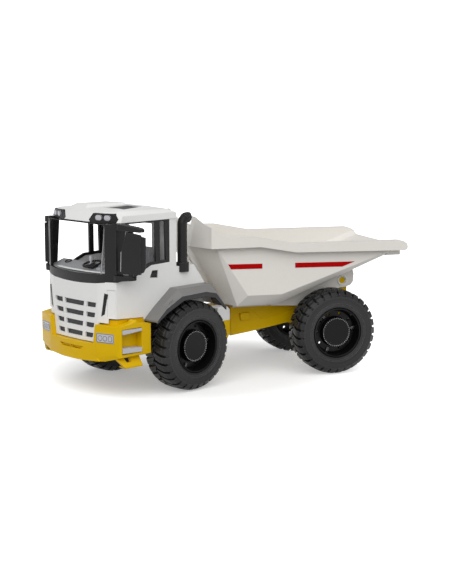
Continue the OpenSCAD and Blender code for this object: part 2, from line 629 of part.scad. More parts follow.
// openings of the grille in one row: the middle slot and the outer ones, all narrower towards the bottom
module slot_row(row) {
    z = grille_top_z - row * slot_step;
    share = row / (grille_rows - 1);
    mid = slot_mid_w / 2 - share * 3.6;
    side = mid + slot_bar;
    end = grille_hw - share * grille_taper;
    h = slot_h / 2;
    front_prism([[-mid, z + h], [mid, z + h], [mid - 0.8, z - h], [0.8 - mid, z - h]],
        cab_front_x - 10, far);
    left_right() front_prism([[side, z + h], [end, z + h], [end - 1.2, z + 1 - h], [end - 4, z - h],
        [side - 0.6, z - h]],
        cab_front_x - 10, far);
}
module cab_shell() {
    arch = arch_line(-fender_t);
    color("#e9e9e7") left_right() wheel_house();
    color("#e9e9e7") difference() {
        union() {
            difference() {
                cab_box(0, panel_low_z, roof_z);
                above_waist();
            }
            side_prism([[cab_rear_x + 1, arch[3][1]], [deck_rear_x, arch[3][1]], [deck_rear_x, deck_z - 30],
                [deck_rear_x + 22, deck_z], [cab_rear_x + 1, deck_z]], -cab_hw, cab_hw);
        }
        // hollow inside
        difference() {
            cab_box(cab_wall, 0, far);
            block([0, -far, panel_low_z - 20], [cab_rear_x + cab_wall, far, far]);
        }
        side_prism([[cab_rear_x + 1 - cab_wall, 0], [deck_rear_x + cab_wall, 0],
            [deck_rear_x + cab_wall, deck_z - 31],
            [deck_rear_x + 23, deck_z - cab_wall], [cab_rear_x + 1 - cab_wall, deck_z - cab_wall]],
            cab_wall - cab_hw, cab_hw - cab_wall);
        // wheel arches and the lower edge of the sides
        side_prism(concat([[deck_rear_x - 20, 0], [deck_rear_x - 20, arch[3][1]]], reversed(arch),
            [[arch[0][0] + 2, cab_low_z], [cab_front_x - 8, cab_low_z + 2.5],
                [cab_front_x - 8, 0]]), -far, far);
        rear_window();
        left_right() front_prism([[notch_hw - 0.3, bumper_z1 + 1.5], [notch_hw - 4.3, panel_low_z - 1],
            [notch_hw - 4.3, 0], [far, 0], [far, bumper_z1 + 1.5]], deck_rear_x, far);
        translate([pipe_x, pipe_y, deck_z - 8]) cylinder(r = pipe_r + 2.2, h = far, $fn = 48);
        for (row = [0:grille_rows - 1]) slot_row(row);
        // upright slits at the corners of the panel, leaning outwards at the top
        left_right() front_prism([[55, 134.6], [58.4, 133.6], [54.2, 109.4], [50.2, 106.4], [51.4, 113]],
            cab_front_x - 18, far);
        // sunk fields on the corner facets
        left_right() translate([cab_front_x - 6, 56, 0]) rotate([0, 0, 90 + atan(7 / (cab_hw - 56))])
            block([2.2, -4, cab_low_z + 3.5], [norm([7, cab_hw - 56]) - 1.2, 0.8, 139.5]);
        // recesses for the door handles
        left_right() side_prism([[131.5, 148.5], [144.5, 149.8], [140.5, 158.7], [130.7, 158.3]],
            cab_hw - 1.4, far);
    }
}
grille_low_z = grille_top_z - (grille_rows - 1) * slot_step - slot_h;
// dark plates that lie on the inside of the front panel
module grille_back() color("#4a4b4e") intersection() {
    difference() {
        cab_box(cab_wall, 0, far);
        cab_box(cab_wall + 2, 0, far);
    }
    union() {
        front_prism([[-grille_hw - 2, grille_top_z + slot_h], [grille_taper - grille_hw - 2, grille_low_z],
            [grille_hw - grille_taper + 2, grille_low_z], [grille_hw + 2, grille_top_z + slot_h]],
                190, far);
        left_right() block([190, 48, 104], [far, 61, 137]);
    }
}
module door_handles() color("#3a3a3b") left_right()
    side_prism([[133.5, 151.6], [142.6, 152.6], [141.6, 154.8], [133.2, 154.4]],
        cab_hw - 1.4, cab_hw + 0.3);
module window_frame() color("#262628") difference() {
    intersection() {
        difference() {
            cab_box(0, sill_z - sill_bow - 1, roof_z);
            cab_box(cab_wall + 1, 0, far);
        }
        above_waist();
    }
    pod_room();
    // windscreen, its lower edge bowed
    front_prism([[-screen_hw, screen_low_z + 2.5], [-30, screen_low_z + 0.9], [0, screen_low_z],
        [30, screen_low_z + 0.9],
        [screen_hw, screen_low_z + 2.5], [screen_hw, roof_z - 6], [screen_hw - 4, roof_z - 2.4],
        [4 - screen_hw, roof_z - 2.4], [-screen_hw, roof_z - 6]], 160, far);
    // side windows, split by a post
    top = roof_z - 2;
    side_prism([[post_x, sill_z + 20.8], [post_x + 9, sill_z + 20.4], [post_x + 23, sill_z + 14.4],
        [post_x + 35, sill_z + 7.6], [cab_front_x - 24, sill_z + 6], [cab_front_x - 29, top],
            [post_x, top]], -far, far);
    side_prism([[frame_rear_x + pillar_w, sill_z + 21.6], [post_x - 7, sill_z + 21.2], [post_x - 7, top],
        [frame_rear_x + pillar_w + 1, top]], -far, far);
}
module roof() color("#ededeb") {
    f = cab_front_x;
    r = cab_rear_x;
    w = cab_hw;
    z0 = roof_z;
    z1 = roof_top_z;
    mid = z0 + (z1 - z0) * 0.55;
    high = z0 + (z1 - z0) * 0.83;
    difference() {
        union() {
            facets([for (s = [-1, 1]) for (p = [
                [r - 1, w + 1, z0], [f - 21, w + 1, z0], [f - 12, 57, z0], [f - 7, 44, z0],
                    [f - 5.5, 14, z0],
                [r, w, mid], [f - 24, w, mid],
                [r + 8, w - 9, high], [f - 24, w - 10, high], [f - 14, 48, high], [f - 11.5, 14, high],
                [r + 18, 32, z1], [f - 36, 36, z1 - 0.6], [f - 24, 14, z1 - 1]])
                [p[0], s * p[1], p[2]]]);
            // raised box beside the hatch
            facets([for (p = [[r + 22, -40, 0], [f - 20, -40, 0], [f - 20, -1, 0], [r + 22, -1, 0],
                [r + 32, -34, 1], [f - 36, -38, 1], [f - 30, -8, 1], [r + 24, -4, 1]])
                [p[0], p[1], z1 - 3 + 5.6 * p[2]]]);
        }
        pod_room();
        roof_hatch_block(cut);
        facets([for (s = [-1, 1]) for (p = [
            [r + 2, w - 2, z0 - 1], [f - 22, w - 2, z0 - 1], [f - 12, 46, z0 - 1],
            [r + 3, w - 3, mid - 2], [f - 27, w - 3, mid - 2],
            [r + 12, w - 12, high - 2.6], [f - 26, w - 16, high - 2.6],
            [r + 20, 30, z1 - 4.4]]) [p[0], s * p[1], p[2]]]);
    }
}
module roof_hatch_block(rise)
    plan_prism([[123, 2], [172, 12], [165, 44], [128, 36]], roof_top_z - 4, roof_top_z - 1.6 + rise * 4);
module roof_hatch() color("#4a4b4e") roof_hatch_block(0);
// plan of the pods for the roof lamps, as steps back from the cab's front
pod_plan = [[-26, 22], [-7.5, 22], [-9.2, 36], [-15.5, 57], [-21.5, 66.4], [-38, 66.4]];
pod_turn = atan(6.3 / 21);     // how far the face that holds the lamps turns to the side
module pods() pod_form(pod_plan);
// the same with nothing left standing in front of it
module pod_room() pod_form([[-26, 22], [20, 22], [20, 66.4], [-38, 66.4]]);
module pod_form(plan) left_right() intersection() {
    plan_prism([for (p = plan) [cab_front_x + p[0], p[1]]], 0, far);
    front_prism([[26, roof_z - 1.6], [23.4, roof_z + 2.6], [31, roof_z + 11], [60, roof_z + 11.2],
        [66, roof_z + 4.6], [64.4, roof_z - 1.6]], 0, far);
}
module light_pods() color("#1f1f21") difference() {
    pods();
    roof_lamps();
}
module roof_lamps() color("#b5b6ba") left_right()
    translate([cab_front_x + pod_plan[2][0], pod_plan[2][1], roof_z + 5.8]) rotate([0, 0, pod_turn])
        for (y = [4.2, 17.2]) translate([-0.4, y, 0]) rotate([0, 90, 0]) {
            for (s = [-1, 1]) translate([0, s * 1.4, 0]) cylinder(r = 3.8, h = 1.4, $fn = 36);
            block([-3.8, -1.4, 0], [3.8, 1.4, 1.4]);
        }
module at_column() translate([167, 26, screen_low_z + 10]) rotate([0, -30, 0]) children();
module column() translate([0, 0, -9]) cylinder(r = 2.4, h = 10, $fn = 30);
module dashboard() color("#a5a6aa") difference() {
    dash_solid();
    at_column() column();
}
module dash_solid() {
    y = cab_hw - cab_wall;
    intersection() {
        side_prism([[172, house_floor_z], [196, house_floor_z], [196, 140], [cab_front_x, 142],
            [cab_front_x, screen_low_z - 2], [178, screen_low_z + 9], [172, screen_low_z + 4]], -y, y);
        cab_box(cab_wall + 1, 0, far);
    }
    block([cab_rear_x + cab_wall, -house_y, house_floor_z], [172, house_y, house_floor_z + 4]);
}
module seats() color("#8b8c90") {
    z = house_floor_z + 4;
    for (y = [-24, 24]) {
        side_prism([[122, z], [154, z], [156, z + 24], [128, z + 20]], y - 18, y + 18);
        side_prism([[114, z], [122, z], [128, z + 20], [121, z + 68], [115, z + 68]], y - 18, y + 18);
    }
}
module steering_wheel() color("#1f1f21") at_column() {
    rotate_extrude($fn = 48) translate([11, 0]) circle(r = 1.5, $fn = 20);
    for (a = [90, 210, 330]) rotate([0, 0, a]) block([0, -1.4, -1], [11, 1.4, 0.8]);
    column();
}
// mirror frame: x runs outwards and backwards along the mirror, y towards its glass
module at_mirror() translate([195.5, cab_hw + 6.5, 0]) rotate([0, 0, 127.6]) children();
// arms above and below a mirror, seated on the pillar
module mirror_arms() color("#232325") left_right() difference() {
    y = cab_hw;
    union() {
        intersection() {
            plan_prism([[185, y - 4], [198, y - 4], [199.6, y + 5], [198.3, y + 8.6], [183.5, y + 27.8],
                [180, y + 29.6], [176.6, y + 28.4], [176.2, y + 25.2], [190, y + 7.3],
                [185, y + 1]], 0, far);
            front_prism([[y - 5, 215], [y - 5, roof_z - 0.2], [y + 7, roof_z - 0.2], [y + 21, 218.4],
                [y + 28, 215.8], [y + 30, 213.8], [y + 27, 211.8], [y + 15, 213.4]], 0, far);
        }
        intersection() {
            plan_prism([[188, y - 4], [201, y - 4], [202, y + 2], [198.3, y + 8.6], [188.4, y + 21.4],
                [185.4, y + 22], [182.8, y + 19.8], [190, y + 7.3], [188, y + 1]], 0, far);
            front_prism([[y - 5, 150.8], [y - 5, 158], [y + 18, 157.6], [y + 22, 155.4],
                [y + 19, 152.2]], 0, far);
        }
        // pins on which the mirror hangs
        at_mirror() for (z = [156, 209]) block([9, -1.6, z], [15, 1.6, z + 6]);
    }
    cab_box(0, 0, far);
    mirror_pair();
}
module mirror_pair() at_mirror() {
    side_prism([[0, 161], [24.5, 160], [24.8, 208.4], [7, 212.4], [0.6, 188]], -4, 2.4);
    side_prism([[24, 161.5], [27.5, 162.5], [30.3, 168], [30.3, 205.5], [24, 207]], -2, 2);
}
// stepped housing, its outer part set back
module mirrors() color("#29292b") left_right() mirror_pair();
module mirror_faces() color("#c9cbce") left_right() at_mirror()
    side_prism([[-2.4, 163], [24, 162], [24, 192], [3, 192], [-1.6, 187]], 2.4, 4);
module exhaust() color("#3b3b3a") {
    y = pipe_y;
    bend = 9;
    bend_z = pipe_top - pipe_r - bend;
    translate([pipe_x, y, deck_z - 8]) cylinder(r = pipe_r + 2.2, h = 12, $fn = 48);
    difference() {
        union() {
            translate([pipe_x, y, deck_z - 8]) cylinder(r = pipe_r, h = bend_z - deck_z + 8, $fn = 48);
            translate([pipe_x - bend, y, bend_z]) rotate([90, 0, 0])
                rotate_extrude(angle = 100, $fn = 48) translate([bend, 0]) circle(r = pipe_r, $fn = 48);
            // small ribs round the mouth
            for (i = [0:3]) translate([pipe_x - bend, y, bend_z]) rotate([0, -98 + i * 12, 0])
                translate([bend, 0, -0.5]) cylinder(r = pipe_r + 0.5, h = 1, $fn = 48);
        }
        // open mouth
        translate([pipe_x - bend, y, bend_z]) rotate([0, -100, 0]) translate([bend, 0, -5])
            cylinder(r = pipe_r - 1.4, h = 8, $fn = 48);
    }
}
// stations along a fender, x and z of: seat on the cab, crest, outer edge, lower edge of the lip
fender_rows = [
    [154, 98.5, 154, 98.5, 154, 98.9, 154, 96],
    [138, 112.7, 138, 112.9, 138.6, 112.4, 136, 107.6],
    [110.4, 133.8, 110.6, 133.6, 112, 125.4, 109, 119.8],
    [72, 134.2, 71, 134, 70, 126.9, 70, 120.6],
    [50, 134.2, 51, 133.6, 52.1, 123, 54.4, 117.4],
    [34, 106, 34, 105.6, 34, 102.7, 34, 99]];
// section at one station: seat, crest, outer edge, lip, then back along the inner side
function fender_ring(p) = [[p[0], cab_hw, p[1]], [p[2], fender_y - 10, p[3]], [p[4], fender_y, p[5]],
    [p[6], fender_y, p[7]], [p[6], fender_y - fender_t, p[7]], [p[4], fender_y - fender_t, p[5] - fender_t],
    [p[2], fender_y - 10, p[3] - fender_t], [p[0], cab_hw, p[1] - fender_t]];
module fender() {
    last = 8 * (len(fender_rows) - 1);
    color("#6a6a69") polyhedron([for (p = fender_rows) for (q = fender_ring(p)) q], concat(
        [for (i = [0:8:last - 1]) for (k = [0:7]) for (f = quad(i + k, i + 8 + k, i + 8 + (k + 1) % 8,
            i + (k + 1) % 8)) f],
        [for (k = [0:2]) for (f = quad(k, k + 1, 6 - k, 7 - k)) f],
        [for (k = [0:2]) for (f = quad(last + 7 - k, last + 6 - k, last + k + 1, last + k)) f]));
}

rear_frame();
axle_rod(rear_axle_x);  // rear_axle
pivot_pin();
tip_pin();
bed();
bed_brackets();
bed_stripes();
front_unit() front_frame();
front_unit() axle_rod(front_axle_x);  // front_axle
front_unit() bumper();
front_unit() step_plates();
front_unit() headlights();
front_unit() tow_pin();
front_unit() cab_shell();
front_unit() grille_back();
front_unit() window_frame();
front_unit() roof();
front_unit() roof_hatch();
front_unit() light_pods();
front_unit() roof_lamps();
front_unit() dashboard();
front_unit() seats();
front_unit() steering_wheel();
front_unit() mirror_arms();
front_unit() mirrors();
front_unit() mirror_faces();
front_unit() exhaust();
front_unit() fender();  // fender_left
front_unit() mirror([0, 1, 0]) fender();  // fender_right
front_unit() door_handles();
front_unit() rear_steps();
front_unit() at_wheel(front_axle_x, 1) tyre();  // tyre_front_left
front_unit() at_wheel(front_axle_x, -1) tyre();  // tyre_front_right
at_wheel(rear_axle_x, 1) tyre();  // tyre_rear_left
at_wheel(rear_axle_x, -1) tyre();  // tyre_rear_right
front_unit() at_wheel(front_axle_x, 1) rim();  // rim_front_left
front_unit() at_wheel(front_axle_x, -1) rim();  // rim_front_right
at_wheel(rear_axle_x, 1) rim();  // rim_rear_left
at_wheel(rear_axle_x, -1) rim();  // rim_rear_right
front_unit() at_wheel(front_axle_x, 1) hub_cap();  // cap_front_left
front_unit() at_wheel(front_axle_x, -1) hub_cap();  // cap_front_right
at_wheel(rear_axle_x, 1) hub_cap();  // cap_rear_left
at_wheel(rear_axle_x, -1) hub_cap();  // cap_rear_right
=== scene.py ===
import json
import math

import bpy
import numpy as np
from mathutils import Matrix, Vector


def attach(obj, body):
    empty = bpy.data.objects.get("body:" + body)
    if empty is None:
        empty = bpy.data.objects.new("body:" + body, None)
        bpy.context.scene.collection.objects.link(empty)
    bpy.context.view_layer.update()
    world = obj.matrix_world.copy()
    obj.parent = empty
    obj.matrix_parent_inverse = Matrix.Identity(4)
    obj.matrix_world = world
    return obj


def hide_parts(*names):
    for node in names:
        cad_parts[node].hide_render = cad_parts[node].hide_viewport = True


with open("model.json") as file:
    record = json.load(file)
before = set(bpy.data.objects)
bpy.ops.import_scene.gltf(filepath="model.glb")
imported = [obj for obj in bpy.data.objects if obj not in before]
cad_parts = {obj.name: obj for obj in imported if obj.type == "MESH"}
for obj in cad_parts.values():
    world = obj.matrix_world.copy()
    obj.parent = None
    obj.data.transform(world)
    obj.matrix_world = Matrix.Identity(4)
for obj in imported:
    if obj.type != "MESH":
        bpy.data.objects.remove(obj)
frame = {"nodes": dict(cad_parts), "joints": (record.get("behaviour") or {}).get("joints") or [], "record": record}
nodes = frame["nodes"]
joints = {joint["name"]: joint for joint in frame["joints"]}
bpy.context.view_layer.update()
print("frame loaded,", len(nodes), "nodes")

mm = 0.001
restTurn = math.radians(26.0)     # how far the front unit is turned at rest
bothSides = (("left", 1), ("right", -1))


# camera and studio
cameraSettings = {
    "place": (0.4938, 1.6238, 0.3795),
    "target": (-0.0429, 0.0, 0.1054),
    "lens": 76.44,          # mm, for a picture 36 mm on its long side
    "longSide": 36.0,
    "nearest": 0.05,        # metres; what is nearer or farther isn't drawn
    "farthest": 30.0,
}
studioSettings = {
    "floorWidth": 14.0,
    "floorColor": (0.78, 0.78, 0.775),    # as the camera sees it
    "bounceColor": (0.40, 0.40, 0.40),    # as it lights the toy from below
    "floorGlow": 0.31,      # what the camera sees on top of the lit floor, near the toy
    "farGlow": 1.0,         # the same away from the toy
    "glowStart": 0.14,      # metres from the middle where the floor begins to fade to white
    "glowEnd": 0.31,
    "skyLight": 0.55,       # plain light from all around
    "skySeen": 1.1,         # the same where the camera looks at it
    "skyColor": (1.0, 1.0, 1.0),
    "sunPower": 1.42,
    "sunHeight": 44.0,      # degrees above the horizon
    "sunSide": 72.0,        # degrees round from the rear unit's nose, to its left
    "sunWidth": 70.0,       # degrees, a wide soft light
}
lampSettings = [
    # name, place, aims at, width, watts, colour
    ("softBox", (1.2, 1.5, 1.3), (0.0, 0.0, 0.1), 1.2, 5.0, (1.0, 1.0, 1.0)),
    ("rearBox", (-1.6, 1.0, 0.9), (-0.1, 0.0, 0.1), 1.0, 2.5, (1.0, 0.99, 0.97)),
]


def aimAt(thing, place, target):
    thing.location = place
    direction = Vector(target) - Vector(place)
    thing.rotation_euler = direction.to_track_quat("-Z", "Y").to_euler()


def makeCamera():
    camera = bpy.data.objects.new("camera", bpy.data.cameras.new("camera"))
    bpy.context.scene.collection.objects.link(camera)
    aimAt(camera, cameraSettings["place"], cameraSettings["target"])
    camera.data.sensor_width = cameraSettings["longSide"]
    camera.data.lens = cameraSettings["lens"]
    camera.data.clip_start = cameraSettings["nearest"]
    camera.data.clip_end = cameraSettings["farthest"]
    bpy.context.scene.camera = camera


def link(tree, source, target):
    tree.links.new(source, target)


def mathNode(tree, operation, first, second, third=None):
    node = tree.nodes.new("ShaderNodeMath")
    node.operation = operation
    for socket, value in zip(node.inputs, (first, second, third)):
        if value is None:
            continue
        if isinstance(value, (int, float)):
            socket.default_value = value
        else:
            link(tree, value, socket)
    return node.outputs[0]


# a blend of two colours, each a socket or three numbers
def mixColor(tree, factor, first, second):
    node = tree.nodes.new("ShaderNodeMix")
    node.data_type = "RGBA"
    link(tree, factor, node.inputs["Factor"])
    for label, color in (("A", first), ("B", second)):
        if isinstance(color, tuple):
            node.inputs[label].default_value = (*color, 1.0)
        else:
            link(tree, color, node.inputs[label])
    return node.outputs["Result"]


# 1 for rays whose hit the viewer sees: straight, mirrored or through something clear
def seenRay(tree):
    path = tree.nodes.new("ShaderNodeLightPath")
    seen = mathNode(tree, "MAXIMUM", path.outputs["Is Camera Ray"], path.outputs["Is Glossy Ray"])
    return mathNode(tree, "MAXIMUM", seen, path.outputs["Is Transmission Ray"])


def makeWorld():
    world = bpy.data.worlds.new("studio")
    bpy.context.scene.world = world
    world.use_nodes = True
    tree = world.node_tree
    background = tree.nodes["Background"]
    background.inputs["Color"].default_value = (*studioSettings["skyColor"], 1.0)
    level = tree.nodes.new("ShaderNodeMapRange")
    level.inputs["To Min"].default_value = studioSettings["skyLight"]
    level.inputs["To Max"].default_value = studioSettings["skySeen"]
    path = tree.nodes.new("ShaderNodeLightPath")
    link(tree, path.outputs["Is Camera Ray"], level.inputs["Value"])
    link(tree, level.outputs["Result"], background.inputs["Strength"])


# white paper that fades to pure white away from the toy
def makeFloor():
    half = studioSettings["floorWidth"] / 2
    mesh = bpy.data.meshes.new("floor")
    corners = [(-half, -half, 0), (half, -half, 0), (half, half, 0), (-half, half, 0)]
    mesh.from_pydata(corners, [], [(0, 1, 2, 3)])
    floor = bpy.data.objects.new("floor", mesh)
    bpy.context.scene.collection.objects.link(floor)
    paper = bpy.data.materials.new("floorPaper")
    paper.use_nodes = True
    tree = paper.node_tree
    tree.nodes.remove(tree.nodes["Principled BSDF"])
    seen = seenRay(tree)
    diffuse = tree.nodes.new("ShaderNodeBsdfDiffuse")
    color = mixColor(tree, seen, studioSettings["bounceColor"], studioSettings["floorColor"])
    link(tree, color, diffuse.inputs["Color"])
    distance = tree.nodes.new("ShaderNodeVectorMath")
    distance.operation = "LENGTH"
    link(tree, tree.nodes.new("ShaderNodeTexCoord").outputs["Object"], distance.inputs[0])
    fade = tree.nodes.new("ShaderNodeMapRange")
    fade.interpolation_type = "SMOOTHSTEP"
    fade.inputs["From Min"].default_value = studioSettings["glowStart"]
    fade.inputs["From Max"].default_value = studioSettings["glowEnd"]
    fade.inputs["To Min"].default_value = studioSettings["floorGlow"]
    fade.inputs["To Max"].default_value = studioSettings["farGlow"]
    link(tree, distance.outputs["Value"], fade.inputs["Value"])
    glow = tree.nodes.new("ShaderNodeEmission")
    link(tree, mathNode(tree, "MULTIPLY", seen, fade.outputs["Result"]), glow.inputs["Strength"])
    both = tree.nodes.new("ShaderNodeAddShader")
    link(tree, diffuse.outputs[0], both.inputs[0])
    link(tree, glow.outputs[0], both.inputs[1])
    link(tree, both.outputs[0], tree.nodes["Material Output"].inputs["Surface"])
    mesh.materials.append(paper)


def makeLights():
    sun = bpy.data.objects.new("sun", bpy.data.lights.new("sun", "SUN"))
    sun.data.energy = studioSettings["sunPower"]
    sun.data.angle = math.radians(studioSettings["sunWidth"])
    bpy.context.scene.collection.objects.link(sun)
    height, side = (math.radians(studioSettings[key]) for key in ("sunHeight", "sunSide"))
    sunPlace = (math.cos(height) * math.cos(side), math.cos(height) * math.sin(side), math.sin(height))
    aimAt(sun, sunPlace, (0, 0, 0))
    for name, place, target, width, watts, color in lampSettings:
        lamp = bpy.data.objects.new(name, bpy.data.lights.new(name, "AREA"))
        lamp.data.shape = "SQUARE"
        lamp.data.size = width
        lamp.data.energy = watts
        lamp.data.color = color
        bpy.context.scene.collection.objects.link(lamp)
        aimAt(lamp, place, target)


makeCamera()
makeWorld()
makeFloor()
makeLights()
bpy.context.scene.view_settings.view_transform = "Standard"
print("camera and studio ready")


# shader groups shared by the plastics, the rubber and the metal
patternSettings = {
    # scale and detail of each noise, and its roughness where that isn't the usual one
    "cloud": (14.0, 4.0),
    "fineCloud": (160.0, 2.0),
    "flow": (3.0, 5.0),
    "patches": (45.0, 6.0, 0.7),
    "streak": (6.0, 6.0, 40.0),   # finest along z, so the streaks lie level
    "grainDetail": 2.0,
    "edgeSamples": 4,
    "edgeGain": 3.0,              # how fast the painted edge highlight comes up with the turn of its normal
    "dustSides": 0.6,             # dust on an upright face; one that faces up has dustUp more
    "dustUp": 0.4,
    "reliefDepth": 0.0002,        # metres
}


def newGroup(name, inputs, outputs):
    group = bpy.data.node_groups.new(name, "ShaderNodeTree")
    for label, kind, value in inputs:
        socket = group.interface.new_socket(label, in_out="INPUT", socket_type=kind)
        socket.default_value = value
    for label, kind in outputs:
        group.interface.new_socket(label, in_out="OUTPUT", socket_type=kind)
    return group, group.nodes.new("NodeGroupInput"), group.nodes.new("NodeGroupOutput")


def noiseNode(tree, vector, scale, detail, roughness=0.55):
    node = tree.nodes.new("ShaderNodeTexNoise")
    node.inputs["Detail"].default_value = detail
    node.inputs["Roughness"].default_value = roughness
    link(tree, vector, node.inputs["Vector"])
    if isinstance(scale, (int, float)):
        node.inputs["Scale"].default_value = scale
    else:
        link(tree, scale, node.inputs["Scale"])
    return node.outputs["Fac"]


# moulded plastic: cloudy tone, level flow streaks in the gloss and an even spark-eroded grain
def mouldedSkinGroup():
    group, start, end = newGroup("mouldedSkin", [
        ("Color", "NodeSocketColor", (0.8, 0.8, 0.8, 1.0)),
        ("Cloud", "NodeSocketFloat", 0.04),
        ("Gloss", "NodeSocketFloat", 0.35),
        ("Gloss Spread", "NodeSocketFloat", 0.08),
        ("Grain Size", "NodeSocketFloat", 2500.0),
        ("Grain Depth", "NodeSocketFloat", 0.3),
    ], [("Color", "NodeSocketColor"), ("Roughness", "NodeSocketFloat"), ("Height", "NodeSocketFloat")])
    place = group.nodes.new("ShaderNodeTexCoord").outputs["Object"]
    cloud = noiseNode(group, place, *patternSettings["cloud"])
    fine = noiseNode(group, place, *patternSettings["fineCloud"])
    shade = mathNode(group, "SUBTRACT", mathNode(group, "ADD", cloud, fine), 1.0)
    shade = mathNode(group, "MULTIPLY_ADD", shade, start.outputs["Cloud"], 1.0)
    tint = group.nodes.new("ShaderNodeVectorMath")
    tint.operation = "SCALE"
    link(group, start.outputs["Color"], tint.inputs[0])
    link(group, shade, tint.inputs["Scale"])
    link(group, tint.outputs[0], end.inputs["Color"])
    streak = group.nodes.new("ShaderNodeMapping")
    streak.inputs["Scale"].default_value = patternSettings["streak"]
    link(group, place, streak.inputs["Vector"])
    flow = noiseNode(group, streak.outputs[0], *patternSettings["flow"])
    flow = mathNode(group, "SUBTRACT", flow, 0.5)
    spread = mathNode(group, "MULTIPLY", flow, start.outputs["Gloss Spread"])
    link(group, mathNode(group, "ADD", start.outputs["Gloss"], spread), end.inputs["Roughness"])
    grain = noiseNode(group, place, start.outputs["Grain Size"], patternSettings["grainDetail"])
    link(group, mathNode(group, "MULTIPLY", grain, start.outputs["Grain Depth"]), end.inputs["Height"])
    return group


# how much a point lies on an outer edge, where a painted highlight goes: the turn between the true and the rounded
# normal
def edgeLightGroup():
    group, start, end = newGroup("edgeLight", [
        ("Radius", "NodeSocketFloat", 0.0008),
    ], [("Mask", "NodeSocketFloat"), ("Normal", "NodeSocketVector")])
    rounded = group.nodes.new("ShaderNodeBevel")
    rounded.samples = patternSettings["edgeSamples"]
    link(group, start.outputs["Radius"], rounded.inputs["Radius"])
    geometry = group.nodes.new("ShaderNodeNewGeometry")
    dot = group.nodes.new("ShaderNodeVectorMath")
    dot.operation = "DOT_PRODUCT"
    link(group, rounded.outputs[0], dot.inputs[0])
    link(group, geometry.outputs["Normal"], dot.inputs[1])
    turn = mathNode(group, "SUBTRACT", 1.0, dot.outputs["Value"])
    mask = mathNode(group, "MULTIPLY", turn, patternSettings["edgeGain"])
    link(group, mathNode(group, "MINIMUM", mask, 1.0), end.inputs["Mask"])
    link(group, rounded.outputs[0], end.inputs["Normal"])
    return group


# fine dust in patches, thickest on what faces up
def dustGroup():
    group, start, end = newGroup("dust", [
        ("Color", "NodeSocketColor", (0.1, 0.1, 0.1, 1.0)),
        ("Dust Color", "NodeSocketColor", (0.45, 0.43, 0.40, 1.0)),
        ("Amount", "NodeSocketFloat", 0.1),
    ], [("Color", "NodeSocketColor")])
    geometry = group.nodes.new("ShaderNodeNewGeometry")
    parts = group.nodes.new("ShaderNodeSeparateXYZ")
    link(group, geometry.outputs["Normal"], parts.inputs[0])
    up = mathNode(group, "MULTIPLY_ADD", parts.outputs["Z"], patternSettings["dustUp"],
                  patternSettings["dustSides"])
    place = group.nodes.new("ShaderNodeTexCoord").outputs["Object"]
    patches = noiseNode(group, place, *patternSettings["patches"])
    mask = mathNode(group, "MULTIPLY", mathNode(group, "MULTIPLY", up, patches), start.outputs["Amount"])
    color = mixColor(group, mask, start.outputs["Color"], start.outputs["Dust Color"])
    link(group, color, end.inputs["Color"])
    return group


groups = {"skin": mouldedSkinGroup(), "edge": edgeLightGroup(), "dust": dustGroup()}


def groupNode(tree, name, **values):
    node = tree.nodes.new("ShaderNodeGroup")
    node.node_tree = groups[name]
    for label, value in values.items():
        label = label.replace("_", " ")
        if isinstance(value, (int, float)):
            node.inputs[label].default_value = value
        elif isinstance(value, tuple):
            node.inputs[label].default_value = (*value, 1.0)
        else:
            link(tree, value, node.inputs[label])
    return node


def mouldedMaterial(name, color, gloss=0.35, glossSpread=0.1, cloud=0.04, grain=2500.0, grainDepth=0.3,
                    bump=0.1, edgeRadius=0.0007, edgeHighlight=None, dust=0.0, specular=0.5, metal=0.0):
    material = bpy.data.materials.new(name)
    material.use_nodes = True
    tree = material.node_tree
    shader = tree.nodes["Principled BSDF"]
    skin = groupNode(tree, "skin", Color=color, Cloud=cloud, Gloss=gloss, Gloss_Spread=glossSpread,
                     Grain_Size=grain, Grain_Depth=grainDepth)
    surface = skin.outputs["Color"]
    edge = groupNode(tree, "edge", Radius=edgeRadius)
    # painted highlight: the edge colour, lighter than the surface, is blended in along outer edges
    if edgeHighlight:
        surface = mixColor(tree, edge.outputs["Mask"], surface, edgeHighlight)
    if dust:
        surface = groupNode(tree, "dust", Color=surface, Amount=dust).outputs["Color"]
    link(tree, surface, shader.inputs["Base Color"])
    link(tree, skin.outputs["Roughness"], shader.inputs["Roughness"])
    shader.inputs["Metallic"].default_value = metal
    shader.inputs["Specular IOR Level"].default_value = specular
    relief = tree.nodes.new("ShaderNodeBump")
    relief.inputs["Strength"].default_value = bump
    relief.inputs["Distance"].default_value = patternSettings["reliefDepth"]
    link(tree, skin.outputs["Height"], relief.inputs["Height"])
    link(tree, edge.outputs["Normal"], relief.inputs["Normal"])
    link(tree, relief.outputs[0], shader.inputs["Normal"])
    return material


